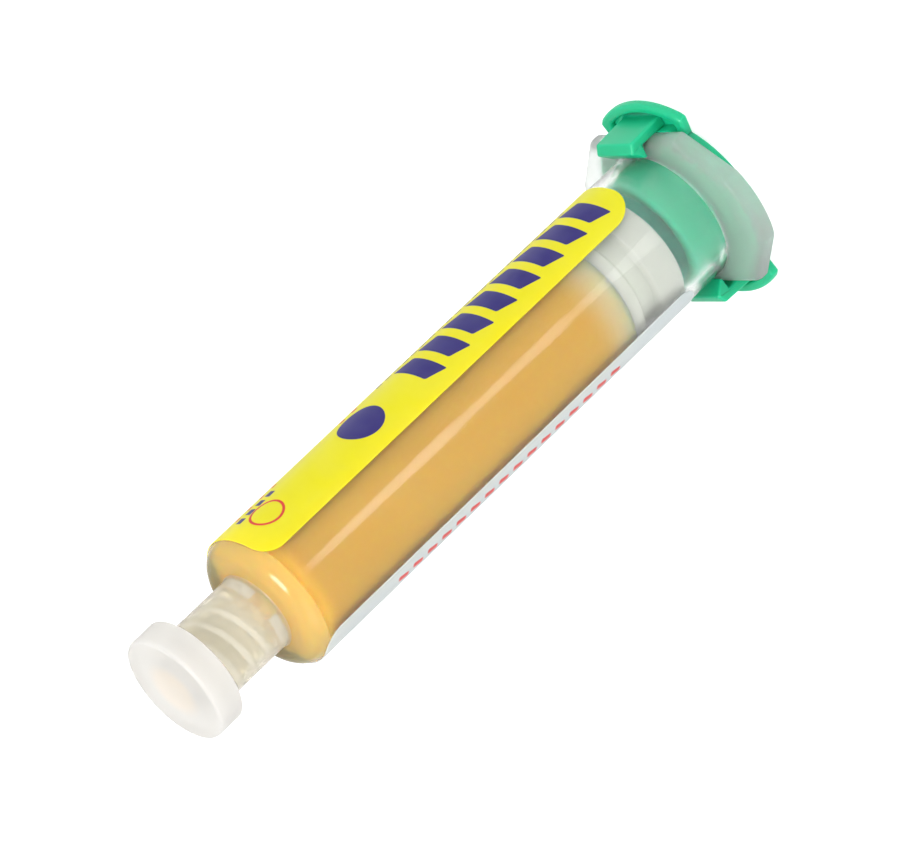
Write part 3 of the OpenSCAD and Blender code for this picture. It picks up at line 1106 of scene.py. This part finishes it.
    @staticmethod
    def finishes() -> list[Plastic]:
        """The finishes: thick flange and thread are cloudier, the flange's faint green is painted light from
        the green end cap under it, and shoulder and collar have a warm tint.

        Returns:
            Wall, flange, shoulder, collar and thread.
        """
        wall = Plastic(
            name="clear_polypropylene",
            colour=(0.985, 0.985, 0.975),
            cloudy=(0.965, 0.965, 0.95),
            roughness=0.16,
            clarity=Clarity.CLEAR,
            scatter=1.0,
            reach=1.5,
            ior=1.3,
            coat=0.3,
        )
        flange = replace(
            wall,
            name="frosted_polypropylene_green_cast",
            # A faint green: painted light that the green end cap casts into the flange.
            colour=(0.96, 0.99, 0.975),
            cloudy=(0.94, 0.97, 0.955),
            roughness=0.32,
            clarity=Clarity.FROSTED,
            coat=0.1,
        )
        shoulder = replace(
            wall,
            name="shoulder_polypropylene",
            colour=(0.98, 0.79, 0.35),
            cloudy=(0.97, 0.77, 0.32),
            clarity=Clarity.HAZY,
        )
        collar = replace(
            wall,
            name="warm_polypropylene",
            colour=(0.995, 0.92, 0.78),
            cloudy=(0.985, 0.9, 0.73),
            roughness=0.12,
            clarity=Clarity.HAZY,
            coat=0.1,
        )
        thread = replace(
            collar,
            name="thread_polypropylene",
            colour=(0.99, 0.97, 0.92),
            cloudy=(0.99, 0.96, 0.9),
            clarity=Clarity.SOLID,
        )
        return [wall, flange, shoulder, collar, thread]

    def build(self, groups: ShaderGroups) -> bpy.types.Object:
        """Makes the barrel piece, whose faces take their finish by height, and the thread's by radius too.

        Args:
            groups: The shared shader groups.

        Returns:
            The barrel piece.
        """
        skin = self.skin()
        materials = [finish.build(groups) for finish in self.finishes()]
        piece = make_piece("barrel_moulding", skin, materials, "barrel")
        away, height = skin.middles()
        in_bore = (away > self.cone_radius + 1.0) & (away < self.collar_bore - 0.5 * self.thread_depth)
        parts = [
            (height > self.collar_floor + self.thread_fade) & in_bore,
            height > self.shoulder + 0.02,
            height > self.shoulder - self.shoulder_round,
            height < self.flange_front + 0.2,
        ]
        paint_faces(piece, np.select(parts, [4, 3, 2, 1], 0))
        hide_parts("barrel")
        return piece


@dataclass
class Piston:
    """The piston: two wiping lips with a waist, a conical front and a hollow back.

    Attributes:
        back: Height of its back, and so on upwards for waist, front_lip, front and nose.
        lip: Radius of the lips.
        soft: Radius of the lips' and the waist's rounds.
        hollow_round: Radius at the hollow's end, and mouth_round at its mouth.
    """

    back: float = 11.9
    waist: float = 16.35
    front_lip: float = 19.35
    front: float = 21.6
    nose: float = 23.8
    nose_radius: float = 1.2
    lip: float = 7.9
    waist_radius: float = 7.3
    soft: float = 0.3
    hollow: float = 6.3
    hollow_top: float = 17.2
    hollow_round: float = 1.0
    mouth_round: float = 0.2

    def skin(self) -> Skin:
        """Builds the surface of revolution, from the hollow's middle out over the lips to the nose.

        Returns:
            The piston's surface.
        """
        soft, end, mouth = self.soft, self.hollow_round, self.mouth_round
        lip, valley = self.lip - soft, self.waist_radius + soft
        path = tidy_path(
            np.array([[0.0, self.hollow_top], [4.6, self.hollow_top]]),
            arc((self.hollow - end, self.hollow_top - end), end, 90.0, 0.0, 6),
            line((self.hollow, self.hollow_top - end - 0.2), (self.hollow, self.back + mouth), 4),
            arc((self.hollow + mouth, self.back + mouth), mouth, 180.0, 270.0, 3),
            arc((lip, self.back + soft), soft, 270.0, 360.0, 5),
            line((self.lip, self.back + 0.5), (self.lip, self.waist - 0.5), 3),
            arc((lip, self.waist - soft), soft, 0.0, 70.0, 4),
            arc((valley, self.waist + 0.55), soft, 250.0, 180.0, 4),
            line((self.waist_radius, self.waist + 0.6), (self.waist_radius, self.front_lip - 0.7), 3),
            arc((valley, self.front_lip - 0.55), soft, 180.0, 110.0, 4),
            arc((lip, self.front_lip + soft), soft, 290.0, 360.0, 4),
            line((self.lip, self.front_lip + 0.5), (self.lip, self.front - 0.4), 3),
            line((self.lip, self.front - 0.35), (self.nose_radius, self.nose), 6),
            np.array([[0.0, self.nose]]),
        )
        return turned(path)

    def build(self, groups: ShaderGroups) -> bpy.types.Object:
        """Makes the piston piece.

        Args:
            groups: The shared shader groups.

        Returns:
            The piston piece.
        """
        finish = Plastic(
            name="natural_polyethylene",
            colour=(0.78, 0.83, 0.72),
            cloudy=(0.75, 0.8, 0.69),
            roughness=0.45,
            clarity=Clarity.SOLID,
            scatter=1.0,
            reach=5.0,
        )
        piece = make_piece("piston_moulding", self.skin(), [finish.build(groups)], "piston")
        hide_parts("piston")
        return piece


@dataclass
class Flux:
    """The flux: a column in front of the piston, and what fills shoulder and outlet.

    Attributes:
        barrel: The barrel that it fills.
        piston: The piston behind it.
        sink: How far the column reaches into the wall, which hides any gap, and rise how far into the cone.
        gap: What lies between the flux and the piston's nose, and between the film and the column's top.
        stroke: How far the piston moves; not used.
        anchor_gap: Distance from the piston's front at the end of its stroke to the end that stays; not
            used.
    """

    barrel: Barrel
    piston: Piston
    sink: float = 0.03
    rise: float = 0.018
    gap: float = 0.02
    stroke: float = 55.0
    anchor_gap: float = 0.2

    def column_skin(self) -> Skin:
        """Builds the column: the piston's cone below, the bore's wall, and the shoulder's cone above.

        Returns:
            The column's surface.
        """
        barrel, piston, gap = self.barrel, self.piston, self.gap
        corner = barrel.inner_corner()[::-1]
        wall = corner[0, 0] + self.sink
        top = corner + np.array([self.sink, self.rise])
        top[-1, 0] = barrel.outlet
        path = tidy_path(
            np.array([[0.0, piston.nose + gap], [piston.nose_radius, piston.nose + gap]]),
            line((piston.nose_radius + 0.1, piston.nose - gap), (wall - 0.05, piston.front - 0.3), 6),
            line((wall, piston.front - 0.25), (wall, barrel.inner_floor - 1.6), 24),
            top,
            np.array([[0.0, barrel.inner_top + gap]]),
        )
        return turned(path)

    def outlet_skin(self) -> Skin:
        """Builds the thin film under the shoulder's cone and the rod in the outlet, as one surface.

        Returns:
            The surface of both.
        """
        low, high, gap = self.barrel.inner_floor, self.barrel.inner_top, self.gap
        wide, rod = self.barrel.bore - 0.4, self.barrel.outlet + 0.01
        film, under = 0.1, high - 0.16
        path = tidy_path(
            np.array([[0.0, under], [0.9, under]]),
            line((1.2, under - 0.04), (wide, low - gap - film), 5),
            line((wide, low - gap), (self.barrel.outlet + 0.3, under), 5),
            line((rod, high), (rod, self.barrel.cone_end - 0.05), 8),
            np.array([[0.0, self.barrel.cone_end - gap]]),
        )
        return turned(path, 96)

    def build(self, groups: ShaderGroups) -> list[bpy.types.Object]:
        """Makes the column, which gets a mesh of its own, and the film with the rod.

        Args:
            groups: The shared shader groups.

        Returns:
            Both pieces.
        """
        materials = [Paste().build(groups)]
        column = make_piece("flux_column", self.column_skin(), materials, "barrel")
        outlet = make_piece("flux_in_outlet", self.outlet_skin(), materials, "barrel")
        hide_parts("flux_paste")
        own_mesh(column)
        return [column, outlet]


@dataclass
class Label:
    """The label: a printed film wrapped most of the way round the barrel.

    Attributes:
        inner: Radius of its inside, and outer of its outside.
        start: Height of its lower edge.
        first_angle: Where it starts round the barrel, and wrap how far it runs, in degrees.
        corner: Radius of its first lower corner, and small_corner of the others.
        split: Where the pale field starts, in millimetres round the barrel.
    """

    inner: float = 9.22
    outer: float = 9.32
    start: float = 11.1
    length: float = 67.8
    first_angle: float = 46.0
    wrap: float = 279.5
    corner: float = 4.5
    small_corner: float = 2.8
    split: float = 28.0

    @property
    def width(self) -> float:
        """Reach round the barrel, measured on the outside."""
        return self.outer * math.radians(self.wrap)

    @staticmethod
    def _corner_cut(edge: np.ndarray, radius: float) -> np.ndarray:
        """What a corner of radius c takes off at s from its edge: c minus the root of (c² - (c - s)²)."""
        gap = np.maximum(radius - edge, 0.0)
        return radius - np.sqrt(np.maximum(radius**2 - gap**2, 0.0))

    def _grid(self) -> tuple[np.ndarray, np.ndarray]:
        """Places the film's columns and the points along them.

        Columns run round the barrel, closer together near both edges, and start and end later where the
        corners are.

        Returns:
            Each column's place round the barrel, and its points' places along the barrel.
        """
        near = self.corner * (1.0 - np.cos(np.radians(np.linspace(0.0, 90.0, 21))))
        middle = np.linspace(self.corner, self.width - self.corner, 150)[1:-1]
        across = np.concatenate([near, middle, (self.width - near)[::-1]])
        far = self.width - across
        high = self._corner_cut(np.minimum(across, far), self.small_corner)
        first, second = self._corner_cut(across, self.corner), self._corner_cut(far, self.small_corner)
        low = np.where(across < far, first, second)
        share = np.linspace(0.0, 1.0, 41)
        return across, low[:, None] + share[None] * (self.length - low - high)[:, None]

    def _side(self, radius: float, across: np.ndarray, along: np.ndarray) -> np.ndarray:
        """Places the film's grid at a radius: its place round the barrel over the outer radius is the turn.

        Args:
            radius: Distance from the axis.
            across: Each column's place round the barrel.
            along: Its points' places along the barrel.

        Returns:
            The grid's points, column by column.
        """
        angle = np.broadcast_to((np.radians(self.first_angle) + across / self.outer)[:, None], along.shape)
        grid = [radius * np.cos(angle), radius * np.sin(angle), self.start + along]
        return np.stack(grid, axis=-1).reshape(-1, 3)

    def build(self, groups: ShaderGroups) -> bpy.types.Object:
        """Makes the film as a closed thin sheet with its own UV map.

        The outer and the inner side are the same grid at two radii, and quads round the rim join them. The
        map's numbers are the shares of width and length.

        Args:
            groups: The shared shader groups.

        Returns:
            The film piece.
        """
        across, along = self._grid()
        columns, rows = along.shape
        points = np.vstack([self._side(radius, across, along) for radius in (self.outer, self.inner)])
        front = grid_faces(columns, rows)
        below = front[:, ::-1] + columns * rows
        first_row = np.arange(columns) * rows
        last_column = (columns - 1) * rows + np.arange(1, rows)
        last_row = np.arange(columns - 2, -1, -1) * rows + rows - 1
        rim = np.concatenate([first_row, last_column, last_row, np.arange(rows - 2, 0, -1)])
        after = np.roll(rim, -1)
        wall = np.stack([after, rim, rim + columns * rows, after + columns * rows], axis=-1)
        film = Film(width=self.width, length=self.length, split=self.split)
        back = Plastic(
            name="film_back",
            colour=(0.95, 0.96, 0.94),
            cloudy=(0.92, 0.93, 0.91),
            roughness=0.6,
            clarity=Clarity.SOLID,
            scatter=1.0,
            reach=0.5,
            shine=0.2,
        )
        skin = Skin(points, face_tuples(front, below, wall))
        materials = [film.build(groups), back.build(groups)]
        piece = make_piece("label_film", skin, materials, "barrel")
        paint_faces(piece, np.repeat([0, 1, 0], [len(front), len(below), len(wall)]))
        flat = np.column_stack([np.repeat(across / self.width, rows), (along / self.length).reshape(-1)])
        corners = np.empty(len(piece.data.loops), dtype=np.int64)
        piece.data.loops.foreach_get("vertex_index", corners)
        layer = piece.data.uv_layers.new(name="film")
        layer.data.foreach_set("uv", np.vstack([flat, flat])[corners].reshape(-1))
        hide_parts("label")
        return piece


@dataclass
class EndCap:
    """The green end cap: plate, two finger tabs with pockets, two hooks and a hollow plug.

    A size whose name ends in round, fillet or soft is the radius of that edge.

    Attributes:
        plate: Thickness of the plate, and flat_y the distance of its flat sides.
        tab_half: Half a tab's width at tab_at from the axis; it grows outwards by tab_slope degrees.
        tab_root: Where the tab's sides start, under the plate.
        rim: Width of the bowed rim round a pocket.
        hook_in: Distance of a hook's inner face from the axis, and hook_out of its outer face.
        hook_under: Height of a hook's underside, hook_end of its outer edge and crest of its inner edge.
        nose_y: Distance of a hook's nose from the axis.
        lean: How far a hook's outer face leans in.
        narrow: The most that a hook's narrow nose and foot are drawn in at its sides.
    """

    plate_radius: float = 12.0
    plate: float = 1.9
    plate_gap: float = 0.03
    flat_y: float = 10.75
    tab_radius: float = 14.37
    tab_half: float = 8.1
    tab_at: float = 11.9
    tab_slope: float = 14.0
    tab_height: float = 1.3
    tab_root: float = 8.6
    rim: float = 1.35
    pocket_half: float = 6.4
    pocket_floor: float = 0.5
    floor_half: float = 6.9
    floor_root: float = 8.8
    hook_half: float = 3.6
    hook_in: float = 10.82
    hook_out: float = 12.27
    hook_under: float = 4.67
    hook_end: float = 6.12
    hook_fillet: float = 0.62
    hook_soft: float = 0.34
    lean: float = 0.2
    narrow: float = 0.09
    crest: float = 6.82
    nose_y: float = 9.27
    plug_radius: float = 7.9
    plug_wall: float = 1.3
    plug_end: float = 9.65
    plug_round: float = 0.6
    plug_inner_round: float = 0.25

    def _tab_side(self, y: float, side: float = 1.0, inside: float = 0.0) -> list[float]:
        """Returns a point on a tab's side, or that far inside it; the side narrows towards the plate."""
        half = self.tab_half + (y - self.tab_at) * math.tan(math.radians(self.tab_slope)) - inside
        return [side * half, y]

    def _tab(self) -> Skin:
        """Builds one tab's rim: a bow between two arcs, with a bullnose edge above and below.

        Returns:
            The rim's surface.
        """
        root, near, ease = self.tab_root, 0.5, 0.6
        outer_y = math.sqrt(self.tab_radius**2 - self.tab_half**2)
        turn = math.degrees(math.atan2(outer_y, self.tab_half)) + 3.0
        inner = self.tab_radius - self.rim
        inner_y = math.sqrt(inner**2 - self.pocket_half**2)
        inner_turn = math.degrees(math.atan2(inner_y, self.pocket_half)) + 2.0
        beside = self._tab_side(inner_y)[0] - self.pocket_half
        end_x, end_y = self.tab_half - 0.1, outer_y - 0.15
        right = [self._tab_side(root), self._tab_side(outer_y - ease), [end_x, end_y]]
        left = [[-end_x, end_y], self._tab_side(outer_y - ease, -1.0), self._tab_side(root, -1.0)]
        outline = tidy_path(
            np.array(right),
            arc((0.0, 0.0), self.tab_radius, turn, 180.0 - turn, 40),
            np.array(left),
            np.array([self._tab_side(y, -1.0, beside) for y in (root, inner_y - near)]),
            arc((0.0, 0.0), inner, 180.0 - inner_turn, inner_turn, 36),
            np.array([self._tab_side(y, 1.0, beside) for y in (inner_y - near, root)]),
        )
        return soft_prism(outline, 0.0, self.tab_height, 0.4, 0.52)

    def _floor(self) -> Skin:
        """Builds one pocket's floor, a slab that ends under the rim.

        Returns:
            The slab's surface.
        """
        bow = arc((0.0, 0.0), self.tab_radius - self.rim / 2.0, 62.0, 118.0, 24)
        root = np.array([[-self.floor_half, self.floor_root], [self.floor_half, self.floor_root]])
        return soft_prism(tidy_path(root, bow), 0.0, self.pocket_floor, 0.02, 0.02)

    def _plate(self) -> Skin:
        """Builds the plate that the flange sits on: a disc cut along the flange's flat sides.

        Returns:
            The plate's surface.
        """
        edge = math.degrees(math.asin(self.flat_y / self.plate_radius))
        sides = [arc((0.0, 0.0), self.plate_radius, at - edge, at + edge, 60) for at in (0.0, 180.0)]
        return soft_prism(tidy_path(*sides), 0.0, self.plate - self.plate_gap, 0.45, 0.1)

    def _hook(self) -> Skin:
        """Builds one hook: its side outline with soft corners, carried through its width.

        The outer face leans in a little, and a hollow round leads it into the pocket's floor. The prism is
        made along Z and turned so that its first direction is Y, its second Z and its third X.

        Returns:
            The hook's surface.
        """
        foot = self.pocket_floor + self.hook_fillet
        sunk, outside = 0.2, self.hook_out + 0.6
        outline = rounded_corners(
            [
                (self.hook_in, sunk, 0.0),
                (outside, sunk, 0.0),
                (outside, self.pocket_floor - 0.04, 0.0),
                (self.hook_out + 0.02, self.pocket_floor + 0.04, 0.5),
                (self.hook_out, foot + 0.2, 0.0),
                (self.hook_out - self.lean, self.hook_end, 0.42),
                (self.hook_in, self.crest, 0.32),
                (self.nose_y, self.hook_under + 0.55, 0.15),
                (self.nose_y, self.hook_under + 0.3, 0.1),
                (self.hook_in, self.hook_under, 0.1),
            ]
        )
        slim = (outline[:, 0] < self.hook_in - 0.2) | (outline[:, 1] < foot)
        room = np.where(slim, self.narrow, FREE)
        prism = soft_prism(outline, -self.hook_half, self.hook_half, self.hook_soft, self.hook_soft, room)
        return Skin(prism.points[:, [2, 0, 1]], prism.faces)

    def _plug(self) -> Skin:
        """Builds the plug as a closed ring of revolution with soft ends.

        Returns:
            The plug's surface.
        """
        inner, outer = self.plug_radius - self.plug_wall, self.plug_radius
        sunk, straight = self.plate - 0.4, self.plug_end - 0.8
        big, small = self.plug_round, self.plug_inner_round
        path = tidy_path(
            np.array([[inner, sunk], [outer, sunk]]),
            line((outer, self.plate + 0.2), (outer, straight), 4),
            arc((outer - big, self.plug_end - big), big, 0.0, 90.0, 6),
            arc((inner + small, self.plug_end - small), small, 90.0, 180.0, 4),
            line((inner, straight), (inner, self.plate + 0.2), 4),
        )
        return turned(path, 180, closed=True)

    @staticmethod
    def finishes() -> list[Plastic]:
        """The finishes: the plug's thin wall lets more light in, and lighter greens paint light onto the
        plug's outside and more onto its hollow, which lie in shade inside the barrel.

        Returns:
            Those of the plate with tabs and hooks, the plug's outside and its hollow.
        """
        thick = Plastic(
            name="green_polyethylene",
            colour=(0.002, 0.42, 0.205),
            cloudy=(0.004, 0.46, 0.23),
            roughness=0.4,
            clarity=Clarity.SOLID,
            scatter=0.7,
            reach=2.0,
            coat=0.1,
        )
        # Lighter green than the plate's: painted light on the plug's outside, which lies in shade inside the
        # barrel; its wider scatter is real.
        thin = replace(
            thick,
            name="thin_green_polyethylene_painted_lighter",
            colour=(0.005, 0.6, 0.33),
            cloudy=(0.007, 0.64, 0.36),
            scatter=1.0,
            reach=3.0,
        )
        # Lighter green still: painted light in the plug's hollow, which lies in deep shade.
        hollow = replace(
            thin,
            name="hollow_green_painted_lightest",
            colour=(0.012, 0.84, 0.58),
            cloudy=(0.016, 0.86, 0.6),
            reach=5.0,
        )
        return [thick, thin, hollow]

    def build(self, groups: ShaderGroups) -> bpy.types.Object:
        """Makes the end cap as one piece.

        Args:
            groups: The shared shader groups.

        Returns:
            The end cap piece.
        """
        plate, plug = self._plate(), self._plug()
        side = self._tab().joined(self._floor()).joined(self._hook())
        skin = plate.joined(plug).joined(side).joined(side.half_turned())
        materials = [finish.build(groups) for finish in self.finishes()]
        piece = make_piece("end_cap_moulding", skin, materials, "end_cap")
        # The plug's outside and its hollow take the lighter greens of painted light.
        away, _ = plug.middles()
        hollow = away < self.plug_radius - self.plug_wall + 0.2
        start = len(plate.faces)
        which = np.zeros(len(skin.faces))
        which[start : start + len(plug.faces)] = np.where(hollow, 2, 1)
        paint_faces(piece, which)
        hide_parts("end_cap")
        return piece


@dataclass
class TipCap:
    """The tip cap: a round head and a hub with two lock lugs and a conical socket.

    Attributes:
        head: Height of the head's back, and head_end of its front.
        hub: Radius of the hub, and hub_end the height of its end.
        lug: How far a lug stands out, lug_half half its turn in degrees and lug_middle its height.
        lug_rise: Half a lug's height, lug_flank its flanks' and lug_ease its ends' in degrees.
        lead: How far the lugs' helix climbs in a full turn.
        socket_slope: Growth of the socket's radius for each millimetre below its end.
    """

    head_radius: float = 7.35
    head: float = 91.3
    head_end: float = 95.1
    back_round: float = 0.18
    head_round: float = 0.5
    hub: float = 3.5
    hub_end: float = 83.1
    hub_round: float = 0.2
    hub_fillet: float = 0.3
    lug: float = 0.43
    lug_half: float = 20.0
    lug_middle: float = 83.65
    lug_rise: float = 0.5
    lug_flank: float = 0.15
    lug_ease: float = 4.0
    lead: float = 5.0
    socket_end: float = 93.05
    socket_radius: float = 2.03
    socket_slope: float = 0.03
    mouth_round: float = 0.25
    turns: int = 240

    def _hub(self) -> tuple[np.ndarray, np.ndarray]:
        """The hub with its lugs.

        A lug raises the hub by its height times a flat-topped wave of the height above its own helix, where
        the turn is within half its angle of either side.

        Returns:
            Radius and height, with one row for each angle.
        """
        height = np.linspace(self.hub_end + self.hub_round, self.head - 0.4, 50)
        angle = np.linspace(0.0, 360.0, self.turns, endpoint=False)[:, None]
        away = (angle + 90.0) % 180.0 - 90.0
        helix = self.lug_middle + self.lead * away / 360.0
        wave = np.clip((self.lug_rise - np.abs(height[None] - helix)) / self.lug_flank, 0.0, 1.0)
        fade = np.clip((self.lug_half - np.abs(away)) / self.lug_ease, 0.0, 1.0)
        radius = self.hub + self.lug * wave * fade
        return radius, np.broadcast_to(height, radius.shape)

    def skin(self) -> Skin:
        """Builds the surface: socket, hub with lugs and head, from one point on the axis to the other.

        Returns:
            The tip cap's surface.
        """
        mouth = self.socket_radius + (self.socket_end - self.hub_end) * self.socket_slope
        soft, hub_round, fillet, back = self.mouth_round, self.hub_round, self.hub_fillet, self.back_round
        low = tidy_path(
            np.array([[0.0, self.socket_end], [1.7, self.socket_end]]),
            line((self.socket_radius, self.socket_end - 0.1), (mouth, self.hub_end + 0.3), 10),
            arc((mouth + soft, self.hub_end + soft), soft, 180.0, 270.0, 4),
            arc((self.hub - hub_round, self.hub_end + hub_round), hub_round, 270.0, 360.0, 3)[:-1],
        )
        rim, top = self.head_radius - self.head_round, self.head_end - 0.02
        high = tidy_path(
            arc((self.hub + fillet, self.head - fillet), fillet, 180.0, 90.0, 4),
            line((self.hub + 0.5, self.head), (self.head_radius - back - 0.1, self.head), 4),
            arc((self.head_radius - back, self.head + back), back, 270.0, 360.0, 5),
            arc((rim, self.head_end - self.head_round), self.head_round, 0.0, 90.0, 7),
            line((rim - 0.1, self.head_end), (1.0, top), 5),
            np.array([[0.0, top]]),
        )
        hub_r, hub_z = self._hub()
        radius = side_by_side(self.turns, low[:, 0], hub_r, high[:, 0])
        height = side_by_side(self.turns, low[:, 1], hub_z, high[:, 1])
        return turned_grid(radius, height, closed=False)

    def build(self, groups: ShaderGroups) -> bpy.types.Object:
        """Makes the tip cap piece.

        Args:
            groups: The shared shader groups.

        Returns:
            The tip cap piece.
        """
        finish = Plastic(
            name="natural_tip_cap",
            colour=(0.83, 0.815, 0.775),
            cloudy=(0.79, 0.775, 0.745),
            roughness=0.4,
            clarity=Clarity.MILKY,
            scatter=0.8,
            reach=1.5,
            ior=1.35,
            core=(0.88, 0.81, 0.72),
            core_reach=4.4,
        )
        piece = make_piece("tip_cap_moulding", self.skin(), [finish.build(groups)], "tip_cap")
        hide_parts("tip_cap")
        return piece


# Studio


@dataclass(frozen=True)
class SoftLamp:
    """A soft rectangular lamp.

    Attributes:
        name: Its name.
        place: Where it is, in metres.
        aim: The point it faces, in metres.
        size: Its two sides, in metres.
        power: Its power, in watts.
    """

    name: str
    place: Spot
    aim: Spot
    size: tuple[float, float]
    power: float

    def build(self) -> bpy.types.Object:
        """Makes the lamp.

        Returns:
            The lamp.
        """
        data = bpy.data.lights.new(self.name, "AREA")
        data.shape = "RECTANGLE"
        data.size, data.size_y = self.size
        data.energy = self.power
        lamp = bpy.data.objects.new(self.name, data)
        lamp.location = self.place
        lamp.rotation_euler = (Vector(self.aim) - Vector(self.place)).to_track_quat("-Z", "Y").to_euler()
        bpy.context.scene.collection.objects.link(lamp)
        return lamp


@dataclass
class Studio:
    """Camera, floor and light.

    Attributes:
        right: The picture's direction to the right, up its direction up, and back the way to the camera.
        target: The point that the camera is placed by, in millimetres, from distance back.
        aside: How far the camera is moved to the left, and above how far down.
        lens: Focal length, in millimetres.
        floor_half: Half the floor's side, in metres, and floor_glow its own light.
        brightness: Usual strength of the surroundings.
        behind: Their strength above the horizon, far behind the object.
        dim: Their strength below the horizon, on the camera's side.
        sky_fade: Where the upper half changes, as a direction's part towards the camera.
        ground_fade: The same for the lower half.
        key: The lamp above, and fill the weaker one beside.
        strip_glow: Strength of the strip, and strip_height its height above the floor, in metres.
        strip_turn: Angle of the strip from the camera's direction, in degrees.
        strips: Near and far end, width and share of brightness of each lamp of the strip.
    """

    right: Spot = (0.57627567, -0.49878347, -0.64739587)
    up: Spot = (-0.01783878, 0.78429285, -0.62013427)
    back: Spot = (0.81706067, 0.36891704, 0.44307119)
    target: Spot = (0.0, 0.0, 45.4)
    distance: float = 684.013
    aside: float = 0.33986
    above: float = 0.48231
    lens: float = 230.0
    floor_half: float = 4.0
    floor_colour: Colour = (0.6, 0.6, 0.6)
    floor_glow: float = 0.7
    brightness: float = 0.8
    behind: float = 0.55
    dim: float = 0.7
    sky_fade: tuple[float, float] = (-0.7, -0.1)
    ground_fade: tuple[float, float] = (-0.2, 0.5)
    key: SoftLamp = SoftLamp("key", (0.35, 0.24, 0.95), (0.0, 0.0, 0.04), (0.4, 0.4), 7.0)
    fill: SoftLamp = SoftLamp("fill", (0.8, -0.6, 0.5), (0.0, 0.0, 0.04), (0.7, 0.7), 2.0)
    strip_glow: float = 5.5
    strip_turn: float = -6.0
    strip_height: float = 0.0015
    strips: tuple[tuple[float, float, float, float], ...] = (
        (0.03, 0.062, 0.011, 0.6),
        (0.062, 0.105, 0.018, 0.85),
        (0.105, 0.172, 0.032, 1.15),
    )

    def camera(self) -> bpy.types.Object:
        """Makes the camera at the photograph's place: back from the target, a little aside and below.

        Returns:
            The camera.
        """
        right, up, back = (Vector(axis) for axis in (self.right, self.up, self.back))
        place = (Vector(self.target) - self.aside * right - self.above * up + self.distance * back) * MM
        data = bpy.data.cameras.new("camera")
        data.lens = self.lens
        data.sensor_width = 36.0
        data.sensor_fit = "HORIZONTAL"
        data.clip_start = 0.01
        data.clip_end = 20.0
        camera = bpy.data.objects.new("camera", data)
        camera.matrix_world = Matrix.Translation(place) @ Matrix((right, up, back)).transposed().to_4x4()
        bpy.context.scene.collection.objects.link(camera)
        bpy.context.scene.camera = camera
        return camera

    def floor(self) -> bpy.types.Object:
        """Makes the plain pale floor as one large square.

        Returns:
            The floor.
        """
        half = self.floor_half
        corners = [(-half, -half, 0.0), (half, -half, 0.0), (half, half, 0.0), (-half, half, 0.0)]
        mesh = bpy.data.meshes.new("floor")
        mesh.from_pydata(corners, [], [(0, 1, 2, 3)])
        material, wire, shader = new_material("pale_floor")
        surface = {
            "Base Color": (*self.floor_colour, 1.0),
            "Roughness": 0.9,
            "Emission Color": (1.0, 1.0, 1.0, 1.0),
            "Emission Strength": self.floor_glow,
        }
        wire.feed(shader, surface)
        mesh.materials.append(material)
        floor = bpy.data.objects.new("floor", mesh)
        floor.visible_glossy = False
        bpy.context.scene.collection.objects.link(floor)
        return floor

    def strip(self) -> None:
        """Makes a narrow light that lies below the camera, which the barrel's front line mirrors.

        It is three lamps in a row that widen and brighten with their distance from the barrel; their power
        also grows with their area. Each points up, with its length along the row.
        """
        turn = math.atan2(self.back[1], self.back[0]) + math.radians(self.strip_turn)
        for near, far, wide, share in self.strips:
            middle = (near + far) / 2.0
            place = (middle * math.cos(turn), middle * math.sin(turn), self.strip_height)
            power = self.strip_glow * share * math.pi * (far - near) * wide
            lamp = SoftLamp("strip", place, (place[0], place[1], 1.0), (far - near, wide), power).build()
            lamp.rotation_euler = (math.pi, 0.0, turn)
            lamp.visible_camera = False
            lamp.visible_diffuse = False
            lamp.visible_transmission = False

    def world(self) -> None:
        """Makes the surroundings: above the horizon dimmer behind the object, below it dimmer in front.

        Only reflections see what is below, because the floor hides it from the rest. In both halves the
        brightness follows the direction's part towards the camera.
        """
        world = bpy.data.worlds.new("studio")
        world.use_nodes = True
        wire = Wire(world.node_tree)
        way = wire.add("ShaderNodeTexCoord").outputs["Generated"]
        level = (self.back[0], self.back[1], 0.0)
        product = wire.add("ShaderNodeVectorMath", {0: way, 1: level}, operation="DOT_PRODUCT")
        towards = product.outputs["Value"]
        sky = wire.ramp(towards, *self.sky_fade, start=self.behind, stop=self.brightness)
        ground = wire.ramp(towards, *self.ground_fade, start=self.brightness, stop=self.dim)
        above = wire.math("GREATER_THAN", wire.parts(way)["Z"], 0.0)
        strength = wire.mix(above, ground, sky)
        background = world.node_tree.nodes["Background"]
        wire.feed(background, {"Color": (1.0, 1.0, 1.0, 1.0), "Strength": strength})
        bpy.context.scene.world = world

    def build(self) -> None:
        """Makes everything round the object."""
        self.camera()
        self.floor()
        self.world()
        bpy.context.scene.view_settings.view_transform = "Standard"
        self.key.build()
        self.fill.build()
        self.strip()


def main() -> None:
    """Builds the scene in order."""
    logging.basicConfig(level=logging.INFO, format="%(name)s: %(message)s")
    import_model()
    Studio().build()
    groups = ShaderGroups()
    barrel, piston = Barrel(), Piston()
    barrel.build(groups)
    Flux(barrel, piston).build(groups)
    piston.build(groups)
    Label().build(groups)
    EndCap().build(groups)
    TipCap().build(groups)


if __name__ == "__main__":
    main()
